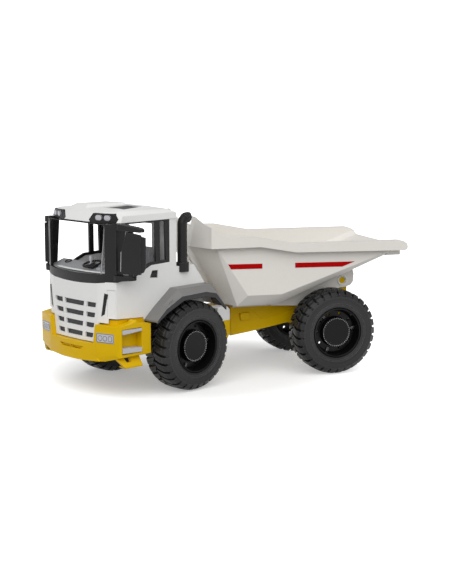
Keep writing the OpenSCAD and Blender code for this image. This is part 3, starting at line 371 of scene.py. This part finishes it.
materials = {
    # each edgeHighlight below is a lighter colour painted along outer edges as a highlight
    "chassis_yellow": mouldedMaterial("chassisYellow", (0.72, 0.45, 0.0), 0.36, specular=0.12,
                                      edgeHighlight=(0.86, 0.57, 0.01)),
    "axle_steel": mouldedMaterial("axleSteel", (0.60, 0.61, 0.62), 0.25, cloud=0.08, metal=1.0),
    "bed_grey": mouldedMaterial("bedGrey", (0.76, 0.735, 0.69), 0.42, specular=0.35,
                                edgeHighlight=(0.80, 0.78, 0.73)),
    "stripe_red": mouldedMaterial("stripeRed", (0.42, 0.0003, 0.0005), 0.45, specular=0.06),
    "cab_white": mouldedMaterial("cabWhite", (0.80, 0.80, 0.79), 0.38, specular=0.3),
    "trim_black": mouldedMaterial("trimBlack", (0.008, 0.008, 0.0085), 0.38, specular=0.2, bump=0.3,
                                  dust=0.02, edgeHighlight=(0.13, 0.13, 0.133)),
    "fender_grey": mouldedMaterial("fenderGrey", (0.205, 0.202, 0.197), 0.38, specular=0.35, bump=0.25,
                                   edgeHighlight=(0.36, 0.36, 0.36)),
    "cabin_grey": mouldedMaterial("cabinGrey", (0.33, 0.335, 0.35), 0.5),
    "lamp_silver": mouldedMaterial("lampSilver", (0.50, 0.50, 0.535), 0.28, specular=0.4),
    "tyre": mouldedMaterial("tyreRubber", (0.0085, 0.0085, 0.0088), 0.40, specular=0.3, bump=0.25,
                            dust=0.02, edgeRadius=0.0005, edgeHighlight=(0.17, 0.17, 0.173)),
    "rim_black": mouldedMaterial("rimBlack", (0.004, 0.004, 0.0045), 0.26, specular=0.12),
    # finishes of single pieces and of two nodes
    # teeth: near black, with a bright painted highlight along every edge
    "teeth": mouldedMaterial("toothedEdge", (0.02, 0.02, 0.021), 0.25, edgeRadius=0.0008,
                             edgeHighlight=(0.95, 0.95, 0.96)),
    # dark: a dark insert for two nodes, and painted shade on the fender lips
    "dark": mouldedMaterial("darkInsertAndShade", (0.045, 0.045, 0.048), 0.5, specular=0.2),
    "line": mouldedMaterial("darkLine", (0.06, 0.06, 0.075), 0.4, specular=0.3),
}
nodeFinish = {"grille_back": "dark", "roof_hatch": "dark"}


def dressNodes():
    slots = {part["node"]: part["material_slot"] for part in frame["record"]["subparts"]}
    for name, thing in nodes.items():
        thing.data.materials.clear()
        thing.data.materials.append(materials[nodeFinish.get(name, slots[name])])


# shades a welded mesh smooth except across edges that turn by more than the given angle
def smoothByAngle(degrees):
    tree = bpy.data.node_groups.new("smoothByAngle", "GeometryNodeTree")
    tree.interface.new_socket("Geometry", in_out="INPUT", socket_type="NodeSocketGeometry")
    tree.interface.new_socket("Geometry", in_out="OUTPUT", socket_type="NodeSocketGeometry")
    start = tree.nodes.new("NodeGroupInput")
    end = tree.nodes.new("NodeGroupOutput")
    angle = tree.nodes.new("GeometryNodeInputMeshEdgeAngle")
    sharp = tree.nodes.new("FunctionNodeCompare")
    sharp.data_type = "FLOAT"
    sharp.operation = "GREATER_THAN"
    sharp.inputs["B"].default_value = math.radians(degrees)
    link(tree, angle.outputs["Unsigned Angle"], sharp.inputs["A"])
    faces = tree.nodes.new("GeometryNodeSetShadeSmooth")
    edges = tree.nodes.new("GeometryNodeSetShadeSmooth")
    edges.domain = "EDGE"
    edges.inputs["Shade Smooth"].default_value = False
    link(tree, start.outputs[0], faces.inputs["Geometry"])
    link(tree, faces.outputs[0], edges.inputs["Geometry"])
    link(tree, sharp.outputs[0], edges.inputs["Selection"])
    link(tree, edges.outputs[0], end.inputs[0])
    return tree


# how wide the rounded edges of a CAD node are, in mm; the modifiers leave its own mesh as it is
edgeForm = {
    "bumper": 0.7, "cab_shell": 0.6, "roof": 0.9, "window_frame": 0.8, "mirrors": 0.7, "mirror_arms": 0.8,
    "bed": 0.7, "bed_brackets": 0.5, "front_frame": 0.5, "rear_frame": 0.5, "step_plates": 0.5,
    "rear_steps": 0.6, "light_pods": 0.4, "seats": 1.2, "dashboard": 0.8, "door_handles": 0.3,
}
edgeSettings = {
    "weld": 1e-6,           # metres within which a node's loose corners are joined
    "smoothBelow": 26.0,    # degrees; sharper edges stay sharp
    "flatWithin": 1.0,      # degrees; triangles that lie so flat become one face before the rounding
    "roundAbove": 24.0,     # degrees; sharper edges are rounded
    "segments": 2,
}


def roundEdges():
    shading = smoothByAngle(edgeSettings["smoothBelow"])
    for name, thing in nodes.items():
        join = thing.modifiers.new("join", "WELD")
        join.merge_threshold = edgeSettings["weld"]
        width = edgeForm.get(name)
        if width is not None:
            plain = thing.modifiers.new("plain", "DECIMATE")
            plain.decimate_type = "DISSOLVE"
            plain.angle_limit = math.radians(edgeSettings["flatWithin"])
        thing.modifiers.new("shading", "NODES").node_group = shading
        if width is not None:
            bevel = thing.modifiers.new("bevel", "BEVEL")
            bevel.width = width * mm
            bevel.segments = edgeSettings["segments"]
            bevel.limit_method = "ANGLE"
            bevel.angle_limit = math.radians(edgeSettings["roundAbove"])
            bevel.harden_normals = True


dressNodes()
roundEdges()
print("materials ready")


# a mesh from points and faces. The volume inside is the sum over each face's fan of triangles; where it
# comes out negative, every face is turned round
def solidPiece(name, points, faces, body, slotName, creases=35.0, finish=None):
    points = np.asarray(points, float)
    sizes = np.array([len(face) for face in faces])
    corners = np.concatenate([np.asarray(face) for face in faces])
    starts = np.concatenate([[0], np.cumsum(sizes)[:-1]])
    volume = 0.0
    for step in range(1, sizes.max() - 1):
        some = sizes > step + 1
        a, b, c = (points[corners[starts[some] + k]] for k in (0, step, step + 1))
        volume += np.einsum("ij,ij->i", a, np.cross(b, c)).sum()
    if volume < 0:
        corners = np.concatenate([part[::-1] for part in np.split(corners, starts[1:])])
    mesh = bpy.data.meshes.new(name)
    mesh.vertices.add(len(points))
    mesh.vertices.foreach_set("co", points.ravel())
    mesh.loops.add(len(corners))
    mesh.loops.foreach_set("vertex_index", corners)
    mesh.polygons.add(len(sizes))
    mesh.polygons.foreach_set("loop_start", starts)
    mesh.update(calc_edges=True)
    mesh.shade_smooth()
    mesh.set_sharp_from_angle(angle=math.radians(creases))
    mesh.materials.append(materials[finish or slotName])
    piece = bpy.data.objects.new(name, mesh)
    bpy.context.scene.collection.objects.link(piece)
    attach(piece, body)
    return piece


# faces over rows of points that run round both ways
def ringFaces(rows, columns):
    i, j = np.meshgrid(np.arange(rows), np.arange(columns), indexing="ij")
    i2, j2 = (i + 1) % rows, (j + 1) % columns
    corners = [i * columns + j, i2 * columns + j, i2 * columns + j2, i * columns + j2]
    return np.stack(corners, -1).reshape(-1, 4)


# a rounded rectangle across x and y, lifted along z: four quarter circles, their centres a corner radius in
# from the sides; size is width, depth and corner radius in mm
def outline(middle, x, y, z, size, height, steps=5):
    width, depth, radius = size
    angle = (np.linspace(0, math.pi / 2, steps) + np.arange(4)[:, None] * math.pi / 2).ravel()
    sideX, sideY = np.repeat([(1, -1, -1, 1), (1, 1, -1, -1)], steps, axis=1)
    across = sideX * (width / 2 - radius) + radius * np.cos(angle)
    over = sideY * (depth / 2 - radius) + radius * np.sin(angle)
    return middle + mm * (across[:, None] * x + over[:, None] * y + height * z)


# a skin over closed rings with as many points each, closed at both ends with a fan from the ring's middle
def loftPiece(name, rings, body, slotName, creases=35.0, finish=None):
    rings = np.array(rings)
    count, around = rings.shape[:2]
    points = np.concatenate([rings.reshape(-1, 3), rings[0].mean(0)[None], rings[-1].mean(0)[None]])
    faces = list(ringFaces(count, around).reshape(count, around, 4)[:-1].reshape(-1, 4))
    j = np.arange(around)
    after = (j + 1) % around
    lastRing, firstTip, lastTip = (count - 1) * around, count * around, count * around + 1
    faces += list(np.stack([np.full(around, firstTip), j, after], 1))
    faces += list(np.stack([np.full(around, lastTip), lastRing + after, lastRing + j], 1))
    return solidPiece(name, points, faces, body, slotName, creases, finish)


# from the front unit's own directions, in mm, to the row frame at rest
def frontPlace(x, y, z):
    cos, sin = math.cos(restTurn), math.sin(restTurn)
    return mm * np.array([x * cos - y * sin, x * sin + y * cos, z])


def frontWay(x, y, z):
    way = frontPlace(x, y, z)
    return way / np.linalg.norm(way)


# centre, outward, forward and upward directions of a wheel
def wheelBasis(joint):
    centre = np.array(joint["pos_m"], float)
    axis = np.array(joint["axis"], float)
    outward = axis if (axis[1] > 0) == ("left" in joint["name"]) else -axis
    up = np.array([0.0, 0.0, 1.0])
    return centre, outward, np.cross(outward, up), up


# points of a wheel from how far out they lie, their radius and their angle round the axle
def wheelPoints(joint, out, radius, angle):
    centre, outward, forward, up = wheelBasis(joint)
    return centre + mm * (out[..., None] * outward + (radius * np.cos(angle))[..., None] * forward
                          + (radius * np.sin(angle))[..., None] * up)


# the tyre: a closed section carried round the wheel. Where a lug stands, the section takes the lug's height,
# and between two lugs the floor's; each half of the tread has its own row, half a pitch apart, and every
# lug is turned forwards towards the middle, along a power of its distance from the shoulder
tyreForm = {
    "pitches": 30,
    "lugShare": 0.69,       # of a pitch, at the top of a lug
    "footShare": 0.77,      # the same at its foot
    "marks": (0.0, 0.03, 0.07, 0.23, 0.29),   # pitches from a lug's middle that have sections of their own
    "lead": 6.0,            # degrees that a lug's inner end runs ahead
    "leadFrom": 18.5,       # mm from the middle, where it begins to run ahead
    "leadPower": 1.5,
    "zigzag": 1.5,          # mm, of the groove in the middle
    "zigzagReach": 7.0,     # mm from the middle
    "treadAbove": 50.0,     # mm, radius beyond which the lead and the zigzag hold
    "sipe": 0.9,            # mm, depth of the fine cut along a lug
    "sipeHalf": 0.02,       # half its width, in pitches
    "sipeSpan": (3.5, 13.0),   # mm from the middle
    "sipeAbove": 57.0,      # mm, radius beyond which it is cut
    "seat": 34.0,           # mm, radius on which the tyre sits
    "seatSpots": (9.0, 0.0, -9.0),   # mm across
    "crease": 28.0,         # degrees; edges that turn by more stay sharp
}
# across from the middle, radius on a lug, radius between lugs, all in mm
tyreSection = [
    (0.0, 55.0, 55.0), (0.7, 55.0, 55.0), (1.0, 57.5, 53.6), (1.4, 58.0, 53.3), (4.0, 58.0, 53.3),
    (7.0, 57.95, 53.3), (10.0, 57.85, 53.2), (12.6, 57.6, 53.1), (13.9, 57.4, 53.0), (14.3, 57.1, 52.9),
    (14.6, 56.5, 52.9), (16.4, 56.1, 52.8), (18.0, 55.6, 52.6), (18.9, 54.9, 52.4), (19.3, 54.2, 51.3),
    (20.2, 52.9, 50.6), (21.2, 51.4, 49.9), (21.7, 50.6, 49.7), (22.1, 49.9, 49.5), (22.45, 49.5, 49.5),
    (22.5, 49.1, 49.1), (22.3, 48.7, 48.7), (22.3, 47.4, 47.4), (22.45, 45.8, 45.8), (22.5, 44.2, 44.2),
    (22.4, 42.4, 42.4), (22.15, 41.0, 41.0), (22.1, 40.6, 40.6), (22.5, 40.4, 40.4), (22.5, 39.7, 39.7),
    (22.1, 39.5, 39.5), (22.0, 38.4, 38.4), (22.3, 38.2, 38.2), (22.3, 37.7, 37.7), (21.9, 37.5, 37.5),
    (21.5, 36.2, 36.2), (20.9, 35.0, 35.0), (19.8, 34.3, 34.3), (18.4, 34.0, 34.0),
]


def makeTyre(name, joint):
    form = tyreForm
    half = np.array(tyreSection)
    seat = [form["seat"]] * len(form["seatSpots"])
    across = np.concatenate([-half[::-1, 0], half[1:, 0], form["seatSpots"]])
    high = np.concatenate([half[::-1, 1], half[1:, 1], seat])
    low = np.concatenate([half[::-1, 2], half[1:, 2], seat])
    lug, foot = form["lugShare"] / 2, form["footShare"] / 2
    marks = (*form["marks"], lug, foot)
    shares = {round(m % 1, 5) for mark in marks for m in (mark, -mark, 0.5 + mark, 0.5 - mark)}
    steps = (np.arange(form["pitches"])[:, None] + np.array(sorted(shares))).ravel()

    f = steps[:, None]
    w = across[None, :]
    row = np.where(w > 0, 0.0, 0.5)
    away = np.abs((f + row + 0.5) % 1 - 0.5)          # from the middle of the nearest lug, in pitches
    raised = np.clip((foot - away) / (foot - lug), 0, 1)
    radius = low + (high - low) * raised
    sipeStart, sipeEnd = form["sipeSpan"]
    inSpan = (np.abs(w) > sipeStart) & (np.abs(w) < sipeEnd)
    cut = (away < form["sipeHalf"]) & inSpan & (high > form["sipeAbove"])
    radius = np.where(cut, radius - form["sipe"], radius)
    inner = np.clip((form["leadFrom"] - np.abs(w)) / form["leadFrom"], 0, 1)
    tread = high > form["treadAbove"]
    turn = math.radians(form["lead"]) * inner ** form["leadPower"] * tread
    angle = f * 2 * math.pi / form["pitches"] + turn
    wave = 4 * np.abs(((f + 0.25) % 1) - 0.5) - 1
    out = w + form["zigzag"] * wave * np.clip(1 - np.abs(w) / form["zigzagReach"], 0, 1) * tread
    points = wheelPoints(joint, out, radius, angle)
    rows, columns = points.shape[:2]
    piece = solidPiece(name, points.reshape(-1, 3), ringFaces(rows, columns), joint["child"], "tyre",
                       form["crease"])
    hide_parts(name.replace("Surface", ""))


# ring of teeth round the cap: each a small wedge of three four-cornered levels, its top a little smaller
# than its foot and higher at the outer radius than at the inner
hubForm = {
    "teeth": 44,
    "toothShare": 0.5,      # of the ring that teeth fill
    "innerRadius": 18.1,    # mm
    "outerRadius": 19.6,
    "capTop": 16.3,         # mm out from the wheel's middle
    # how much smaller a level is on each side, and its inner and outer height over the cap, all in mm
    "levels": [(0.0, -0.4, -0.4), (0.0, 0.27, 0.63), (0.22, 0.45, 0.9)],
}


def makeHubRing(name, joint):
    teeth = hubForm["teeth"]
    inset, low, high = np.array(hubForm["levels"]).T
    inner, outer = hubForm["innerRadius"] + inset, hubForm["outerRadius"] - inset
    radius = np.stack([inner, outer, outer, inner], 1)
    out = hubForm["capTop"] + np.stack([low, high, high, low], 1)
    side = np.array([-1, -1, 1, 1])
    half = hubForm["toothShare"] * math.pi / teeth
    middle = np.arange(teeth)[:, None, None] * 2 * math.pi / teeth
    points = wheelPoints(joint, out, radius, middle + side * (half - inset[:, None] / radius))
    corner = np.arange(4)
    after = (corner + 1) % 4
    walls = np.stack([corner, after, after + 4, corner + 4], 1)
    tooth = np.concatenate([walls, walls + 4, [corner[::-1]], [corner + 8]])
    faces = (tooth + radius.size * np.arange(teeth)[:, None, None]).reshape(-1, 4)
    # the teeth finish paints a bright highlight along each tooth's edges
    solidPiece(name, points.reshape(-1, 3), faces, joint["child"], "rim_black", finish="teeth")


# clips on the wheel's web: rounded rectangles that draw in as they rise
clipForm = {
    "count": 3,
    "first": 52.0,          # degrees round from straight ahead
    "radius": 26.6,         # mm
    "webFace": 7.3,         # mm out from the wheel's middle
    # length, width and corner radius of each ring, and how high it lies over the web
    "rings": [((6.4, 3.6, 1.0), -0.5), ((6.4, 3.6, 1.0), 1.6), ((6.0, 3.2, 1.0), 2.3),
              ((4.8, 2.2, 0.8), 2.7)],
}


def makeClip(name, joint, turn):
    centre, outward, forward, up = wheelBasis(joint)
    radial = math.cos(turn) * forward + math.sin(turn) * up
    along = np.cross(outward, radial)
    middle = centre + mm * (clipForm["webFace"] * outward + clipForm["radius"] * radial)
    rings = [outline(middle, radial, along, outward, size, height) for size, height in clipForm["rings"]]
    # the teeth finish paints a bright highlight along each clip's edges
    loftPiece(name, rings, joint["child"], "rim_black", finish="teeth")


for end in ("front", "rear"):
    for side in ("left", "right"):
        wheel = end + "_" + side
        spin = joints["spin_" + wheel]
        makeTyre("tyre_" + wheel + "Surface", spin)
        makeHubRing("hubRing_" + wheel, spin)
        for index in range(clipForm["count"]):
            clipTurn = math.radians(clipForm["first"] + index * 360 / clipForm["count"])
            makeClip("wheelClip_" + wheel + "_" + str(index + 1), spin, clipTurn)
print("tyres, hub rings and clips ready")


# small pieces of the front unit, placed in its own directions: x forward, y left, z up, all in mm
ahead, leftward, upward = frontWay(1, 0, 0), frontWay(0, 1, 0), np.array([0.0, 0.0, 1.0])
frontBody = "front_unit"


# a soft-edged block: rounded rectangles of full size up to its edge, then two that draw in as they rise
def softBlock(name, middle, x, y, z, size, height, edge, slotName):
    width, depth, radius = size
    rings = []
    for rise, inset in ((0.0, 0.0), (height - edge, 0.0), (height - edge * 0.3, edge * 0.3), (height, edge)):
        ringSize = (width - 2 * inset, depth - 2 * inset, max(radius - inset, 0.05))
        rings.append(outline(middle, x, y, z, ringSize, rise))
    loftPiece(name, rings, frontBody, slotName)


# a bar along a path: a circle square to it, whose measure towards the given side is multiplied by flat; a
# closed path joins up with itself
def barPiece(name, path, radius, slotName, side=(0.0, 0.0, 1.0), closed=False, sides=12, flat=1.0,
             finish=None, body=frontBody):
    path = np.asarray(path, float)
    if closed:
        ways = np.roll(path, -1, 0) - np.roll(path, 1, 0)
    else:
        ways = np.gradient(path, axis=0)
    ways /= np.linalg.norm(ways, axis=1)[:, None]
    across = np.cross(ways, side)
    across /= np.linalg.norm(across, axis=1)[:, None]
    over = np.cross(across, ways)
    turn = np.linspace(0, 2 * math.pi, sides, endpoint=False)[None, :, None]
    section = np.cos(turn) * across[:, None] + flat * np.sin(turn) * over[:, None]
    rings = path[:, None] + radius * mm * section
    if closed:
        solidPiece(name, rings.reshape(-1, 3), ringFaces(*rings.shape[:2]), body, slotName, finish=finish)
    else:
        loftPiece(name, rings, body, slotName, finish=finish)


# points of a circle across x and y
def circlePath(middle, x, y, radius, count=48):
    turn = np.linspace(0, 2 * math.pi, count, endpoint=False)[:, None]
    return middle + mm * radius * (np.cos(turn) * x + np.sin(turn) * y)


# a thin plate on the given corners; each level is a share of its full size and stands out by so many mm
def plateRings(corners, out, levels):
    middle = corners.mean(0)
    return [middle + (corners - middle) * share + mm * rise * out for share, rise in levels]


# dark strips that fill the upright slits beside the grille; corners as y and z, and x falls back with y
slitForm = {
    "corners": [(54.6, 135.2), (59.0, 134.0), (54.8, 108.8), (49.6, 105.6), (51.0, 113.4)],
    "startX": 209.5,        # where the leaning face begins
    "startY": 44.0,
    "lean": 16.26,          # degrees that it turns to the side
    "levels": [(1.0, -1.2), (1.0, 0.2), (0.94, 0.35)],
}


def makeSlits():
    form = slitForm
    lean = math.radians(form["lean"])
    for side, sign in bothSides:
        out = frontWay(math.cos(lean), sign * math.sin(lean), 0)
        corners = np.array([frontPlace(form["startX"] - (y - form["startY"]) * math.tan(lean), sign * y, z)
                            for y, z in form["corners"]])
        loftPiece("slitInsert_" + side, plateRings(corners, out, form["levels"]), frontBody, "trim_black")


# strip on the outer lip of each fender, finished dark as painted shade: four corners carried along the rows,
# which give x and z of the fender's edge and of the lip's lower side
fenderForm = {
    "rows": [(153.6, 98.6, 153.6, 95.7), (138.3, 112.0, 135.8, 107.2), (111.8, 125.0, 108.9, 119.4),
             (70.1, 126.5, 70.1, 120.2), (52.4, 122.6, 54.6, 117.0), (34.4, 102.4, 34.4, 98.8)],
    "face": 94.35,          # y of the lip's outer and inner side
    "back": 92.4,
    "crease": 20.0,         # degrees; edges that turn by more stay sharp
}


def makeFenderLipShades():
    face, back = fenderForm["face"], fenderForm["back"]
    for side, sign in bothSides:
        rings = []
        for x1, z1, x2, z2 in fenderForm["rows"]:
            corners = [(x1, face, z1), (x2, face, z2), (x2, back, z2), (x1, back, z1)]
            rings.append([frontPlace(x, sign * y, z) for x, y, z in corners[::-sign]])
        # the dark finish is painted shade under the fender's edge
        loftPiece("fenderLipShade_" + side, rings, frontBody, "fender_grey", fenderForm["crease"], "dark")


# back of the towing mouth and the two upright bars that show in it
mouthForm = {
    "back": (213.8, 0.0, 63.5),
    "size": (40.0, 3.4, 1.0),
    "depth": 2.2,
    "edge": 0.6,
    "barX": 216.8,
    "barY": 2.2,            # to either side
    "barLow": 61.8,
    "barHigh": 65.3,
    "barRadius": 0.9,
    "barPoints": 4,
}


def makeMouth():
    form = mouthForm
    softBlock("mouthBack", frontPlace(*form["back"]), leftward, upward, ahead, form["size"], form["depth"],
              form["edge"], "chassis_yellow")
    for index, y in enumerate((-form["barY"], form["barY"])):
        heights = np.linspace(form["barLow"], form["barHigh"], form["barPoints"])
        bar = [frontPlace(form["barX"], y, z) for z in heights]
        barPiece("mouthBar_" + str(index + 1), bar, form["barRadius"], "chassis_yellow", side=ahead)


# collar under each front corner of the cab: its plan carried straight up, the top level a little nearer to
# the middle; the plan as x and y, the levels as z and how much nearer
collarForm = {
    "plan": [(152.0, 50.0), (203.2, 50.0), (203.2, 56.0), (196.8, 67.0), (152.0, 67.0)],
    "levels": [(90.0, 0.0), (101.1, 0.0), (101.5, 0.3)],
}


def makeCollar(side, sign):
    plan = collarForm["plan"][::sign]
    rings = [[frontPlace(x, sign * (y - inset), z) for x, y in plan] for z, inset in collarForm["levels"]]
    loftPiece("cabCollar_" + side, rings, frontBody, "chassis_yellow")


# dark recess behind each door handle; corners as x and z
recessForm = {
    "corners": [(131.7, 148.8), (144.1, 150.0), (140.3, 158.5), (130.9, 158.1)],
    "face": 67.6,           # y of the door
    "levels": [(1.0, -0.4), (1.0, 0.25), (0.95, 0.4)],
}


def makeHandleRecess(side, sign):
    corners = np.array([frontPlace(x, sign * recessForm["face"], z) for x, z in recessForm["corners"]])
    rings = plateRings(corners, sign * leftward, recessForm["levels"])
    loftPiece("handleRecess_" + side, rings, frontBody, "trim_black")


# a raised ring round each end of the pin on which the bed tips, in the bed's own directions
eyeForm = {"x": -197.0, "y": 49.9, "z": 122.0, "radius": 6.4, "bar": 1.3, "points": 40}


def makePinEye(side, sign):
    middle = mm * np.array([eyeForm["x"], sign * eyeForm["y"], eyeForm["z"]])
    ring = circlePath(middle, np.array([1.0, 0.0, 0.0]), upward, eyeForm["radius"], eyeForm["points"])
    barPiece("pinEye_" + side, ring, eyeForm["bar"], "cab_white", side=(0.0, 1.0, 0.0), closed=True,
             body="bed")


# a pale bar that paints the highlight on the inner edge of the near front pillar: a straight bar from foot to top
pillarForm = {"foot": (207.2, 49.6, 158.6), "top": (199.4, 48.6, 217.4), "radius": 0.8, "points": 12}


def makePillarHighlight():
    foot, top = np.array(pillarForm["foot"]), np.array(pillarForm["top"])
    path = [frontPlace(*(foot + (top - foot) * share)) for share in np.linspace(0, 1, pillarForm["points"])]
    barPiece("pillarHighlight", path, pillarForm["radius"], "cabin_grey", side=frontWay(1, 0, 0.1))


# the pale shelf along the windscreen: a flat bar that falls back by a power of the way from the middle
shelfForm = {
    "x": 203.6,
    "z": 158.9,
    "half": 47.0,           # half its length
    "bow": 5.5,             # how far its ends fall back
    "bowPower": 2.6,
    "radius": 3.6,
    "flat": 0.24,           # its height as a share of its depth
    "points": 41,
}


def makeShelf():
    form = shelfForm
    path = []
    for y in np.linspace(-form["half"], form["half"], form["points"]):
        back = form["bow"] * abs(y / form["half"]) ** form["bowPower"]
        path.append(frontPlace(form["x"] - back, y, form["z"]))
    barPiece("windscreenShelf", path, form["radius"], "cab_white", flat=form["flat"])


# a fine dark line round a rounded rectangle
def lineRing(name, middle, along, out, size, radius, steps):
    ring = outline(middle, along, upward, out, size, 0.0, steps)
    barPiece(name, ring, radius, "lamp_silver", side=out, closed=True, sides=8, finish="line")


# a shallow dome: rounded rectangles, each smaller than the full size by its inset and as high as its rise
def lampGlass(name, middle, along, out, size, levels, steps):
    width, height, radius = size
    rings = []
    for inset, rise in levels:
        ringSize = (width - inset, height - inset, max(radius - inset / 2, 0.1))
        rings.append(outline(middle, along, upward, out, ringSize, rise, steps))
    loftPiece(name, rings, frontBody, "lamp_silver")


# headlights: a dark outline on each plate and three reflectors, two round and one upright
lightForm = {
    "start": (215.0, 48.0),   # where a plate begins, x and y
    "lean": 16.1,             # degrees that a plate turns to the side
    "low": 74.0,
    "high": 86.0,
    "width": 26.6,
    "face": 0.45,             # how far the plate's face stands out of the bumper
    "line": 0.32,             # half the thickness of a dark line
    "outlineInset": (1.6, 1.4),   # how much narrower and lower the outline is than the plate
    "outlineCorner": 1.2,
    "drop": 0.3,              # how far the reflectors lie below the plate's middle
    # name, place along the plate as a share of its width, then width, height and corner radius
    "reflectors": [("outerReflector", 0.79, (5.2, 6.6, 1.6)), ("midReflector", 0.5, (5.6, 6.0, 2.6)),
                   ("innerReflector", 0.22, (6.2, 6.2, 3.0))],
    "glass": [(0.4, -0.2), (0.5, 0.12), (1.8, 0.3), (3.6, 0.38)],
    "steps": 6,
}


def makeHeadlights():
    form = lightForm
    lean = math.radians(form["lean"])
    startX, startY = form["start"]
    insetWide, insetTall = form["outlineInset"]
    outlineSize = (form["width"] - insetWide, form["high"] - form["low"] - insetTall, form["outlineCorner"])
    middleZ = (form["low"] + form["high"]) / 2
    for side, sign in bothSides:
        along = frontWay(-math.sin(lean), sign * math.cos(lean), 0)
        out = frontWay(math.cos(lean), sign * math.sin(lean), 0)
        corner = frontPlace(startX, sign * startY, 0) + mm * form["face"] * out
        middle = corner + mm * (form["width"] / 2 * along + middleZ * upward)
        name = "headlight_" + side + "_"
        lineRing(name + "outline", middle, along, out, outlineSize, form["line"], form["steps"])
        for label, share, size in form["reflectors"]:
            spot = corner + mm * (share * form["width"] * along + (middleZ - form["drop"]) * upward)
            lineRing(name + label, spot, along, out, size, form["line"], form["steps"])
            lampGlass(name + label + "_glass", spot, along, out, size, form["glass"], form["steps"])


# a slightly domed face with a fine rim on each roof lamp
lampForm = {
    "face": (202.8, 36.0, 227.8),   # where a pod's face begins
    "turn": 16.7,                   # degrees that it turns to the side
    "spots": (4.2, 17.2),           # middles of its lamps along the face
    "stand": 1.0,                   # how far the lamps stand out of it
    "size": (10.4, 7.6, 3.75),      # width, height and corner radius
    "rim": 0.4,                     # half the rim's thickness
    "rimSize": (9.9, 7.1, 3.5),
    "glass": [(0.6, -0.2), (0.8, 0.1), (2.2, 0.42), (4.4, 0.6), (6.4, 0.66)],
    "steps": 9,
}


def makeRoofLamps():
    form = lampForm
    turn = math.radians(form["turn"])
    faceX, faceY, faceZ = form["face"]
    for side, sign in bothSides:
        out = frontWay(math.cos(turn), sign * math.sin(turn), 0)
        along = frontWay(-math.sin(turn), sign * math.cos(turn), 0)
        for index, spot in enumerate(form["spots"]):
            middle = frontPlace(faceX, sign * faceY, faceZ) + mm * (spot * along + form["stand"] * out)
            name = "roofLamp_" + side + "_" + str(index + 1)
            lineRing(name + "_rim", middle, along, out, form["rimSize"], form["rim"], form["steps"])
            lampGlass(name + "_glass", middle, along, out, form["size"], form["glass"], form["steps"])


# controls on the dashboard: a bow with spokes on a console, a lever, two hoods, a row of keys and two vents
dashForm = {
    "run": 34.0,            # of the dashboard's sloping top, and how far it falls
    "fall": 11.0,
    "bow": (190.5, 11.0, 166.4),
    "bowTilt": 14.0,        # degrees
    "bowRadius": 11.5,
    "bowBar": 1.25,
    "spokes": (90.0, 210.6, 329.4),   # degrees round the bow
    "spokePath": [(2.0, 0.9), (6.5, 0.5), (11.2, 0.1)],   # from the bow's middle, and below its plane
    "spokeBar": 1.3,
    "spokeFlat": 0.6,
    "hubSink": 2.0,         # how far the hub's and the console's feet lie below the bow's middle
    "consoleSink": 7.0,
    "lever": (185, 1.0, 162),
    "gaugeHood": (186, -8.0, 161.6),
    "sideHood": (193, 31.0, 159.4),
    "keys": 6,
    "firstKey": (196.5, -40.0, 158.3),
    "keyPitch": 5.0,
    "vents": [(184, -47, 164.0), (184, 47, 164.0)],
    "ventRadius": 4.2,
    "ventBar": 0.8,
}
# width, depth and corner radius, then height, soft edge and slot
dashBlocks = {
    "bowHub": ((6.0, 6.0, 2.8), 2.4, 0.6, "trim_black"),
    "console": ((10.0, 12.0, 2.0), 5.2, 1.0, "trim_black"),
    "lever": ((3.0, 3.8, 0.8), 13.0, 0.8, "lamp_silver"),
    "gaugeHood": ((7.0, 7.5, 1.5), 3.6, 1.0, "cabin_grey"),
    "sideHood": ((8.0, 8.5, 1.8), 5.0, 1.0, "cabin_grey"),
    "dashKey": ((4.2, 3.4, 0.7), 1.5, 0.4, "cabin_grey"),
}


def makeDashControls():
    form = dashForm
    slope = math.atan2(form["fall"], form["run"])
    down = frontWay(math.cos(slope), 0, -math.sin(slope))
    out = frontWay(math.sin(slope), 0, math.cos(slope))
    tilt = math.radians(form["bowTilt"])
    bowX = frontWay(math.cos(tilt), 0, -math.sin(tilt))
    bowZ = frontWay(math.sin(tilt), 0, math.cos(tilt))
    centre = frontPlace(*form["bow"])
    bow = circlePath(centre, bowX, leftward, form["bowRadius"])
    barPiece("controlBow", bow, form["bowBar"], "trim_black", side=bowZ, closed=True)
    for index, degrees in enumerate(form["spokes"]):
        angle = math.radians(degrees)
        way = math.cos(angle) * bowX + math.sin(angle) * leftward
        path = [centre + mm * (reach * way - sink * bowZ) for reach, sink in form["spokePath"]]
        barPiece("bowSpoke_" + str(index + 1), path, form["spokeBar"], "trim_black", side=bowZ,
                 flat=form["spokeFlat"])
    hubFoot = centre - mm * form["hubSink"] * bowZ
    consoleFoot = centre - mm * form["consoleSink"] * out
    softBlock("bowHub", hubFoot, bowX, leftward, bowZ, *dashBlocks["bowHub"])
    softBlock("console", consoleFoot, down, leftward, out, *dashBlocks["console"])
    softBlock("lever", frontPlace(*form["lever"]), ahead, leftward, upward, *dashBlocks["lever"])
    for name in ("gaugeHood", "sideHood"):
        softBlock(name, frontPlace(*form[name]), down, leftward, out, *dashBlocks[name])
    keyX, keyY, keyZ = form["firstKey"]
    for index in range(form["keys"]):
        softBlock("dashKey_" + str(index + 1), frontPlace(keyX, keyY + index * form["keyPitch"], keyZ), down,
                  leftward, out, *dashBlocks["dashKey"])
    for index, place in enumerate(form["vents"]):
        ring = circlePath(frontPlace(*place), down, leftward, form["ventRadius"])
        barPiece("dashVent_" + str(index + 1), ring, form["ventBar"], "trim_black", side=out, closed=True)


makeSlits()
makeFenderLipShades()
makeMouth()
for side, sign in bothSides:
    makeCollar(side, sign)
    makeHandleRecess(side, sign)
    makePinEye(side, sign)
makePillarHighlight()
makeShelf()
makeHeadlights()
makeRoofLamps()
makeDashControls()
print("small pieces ready")
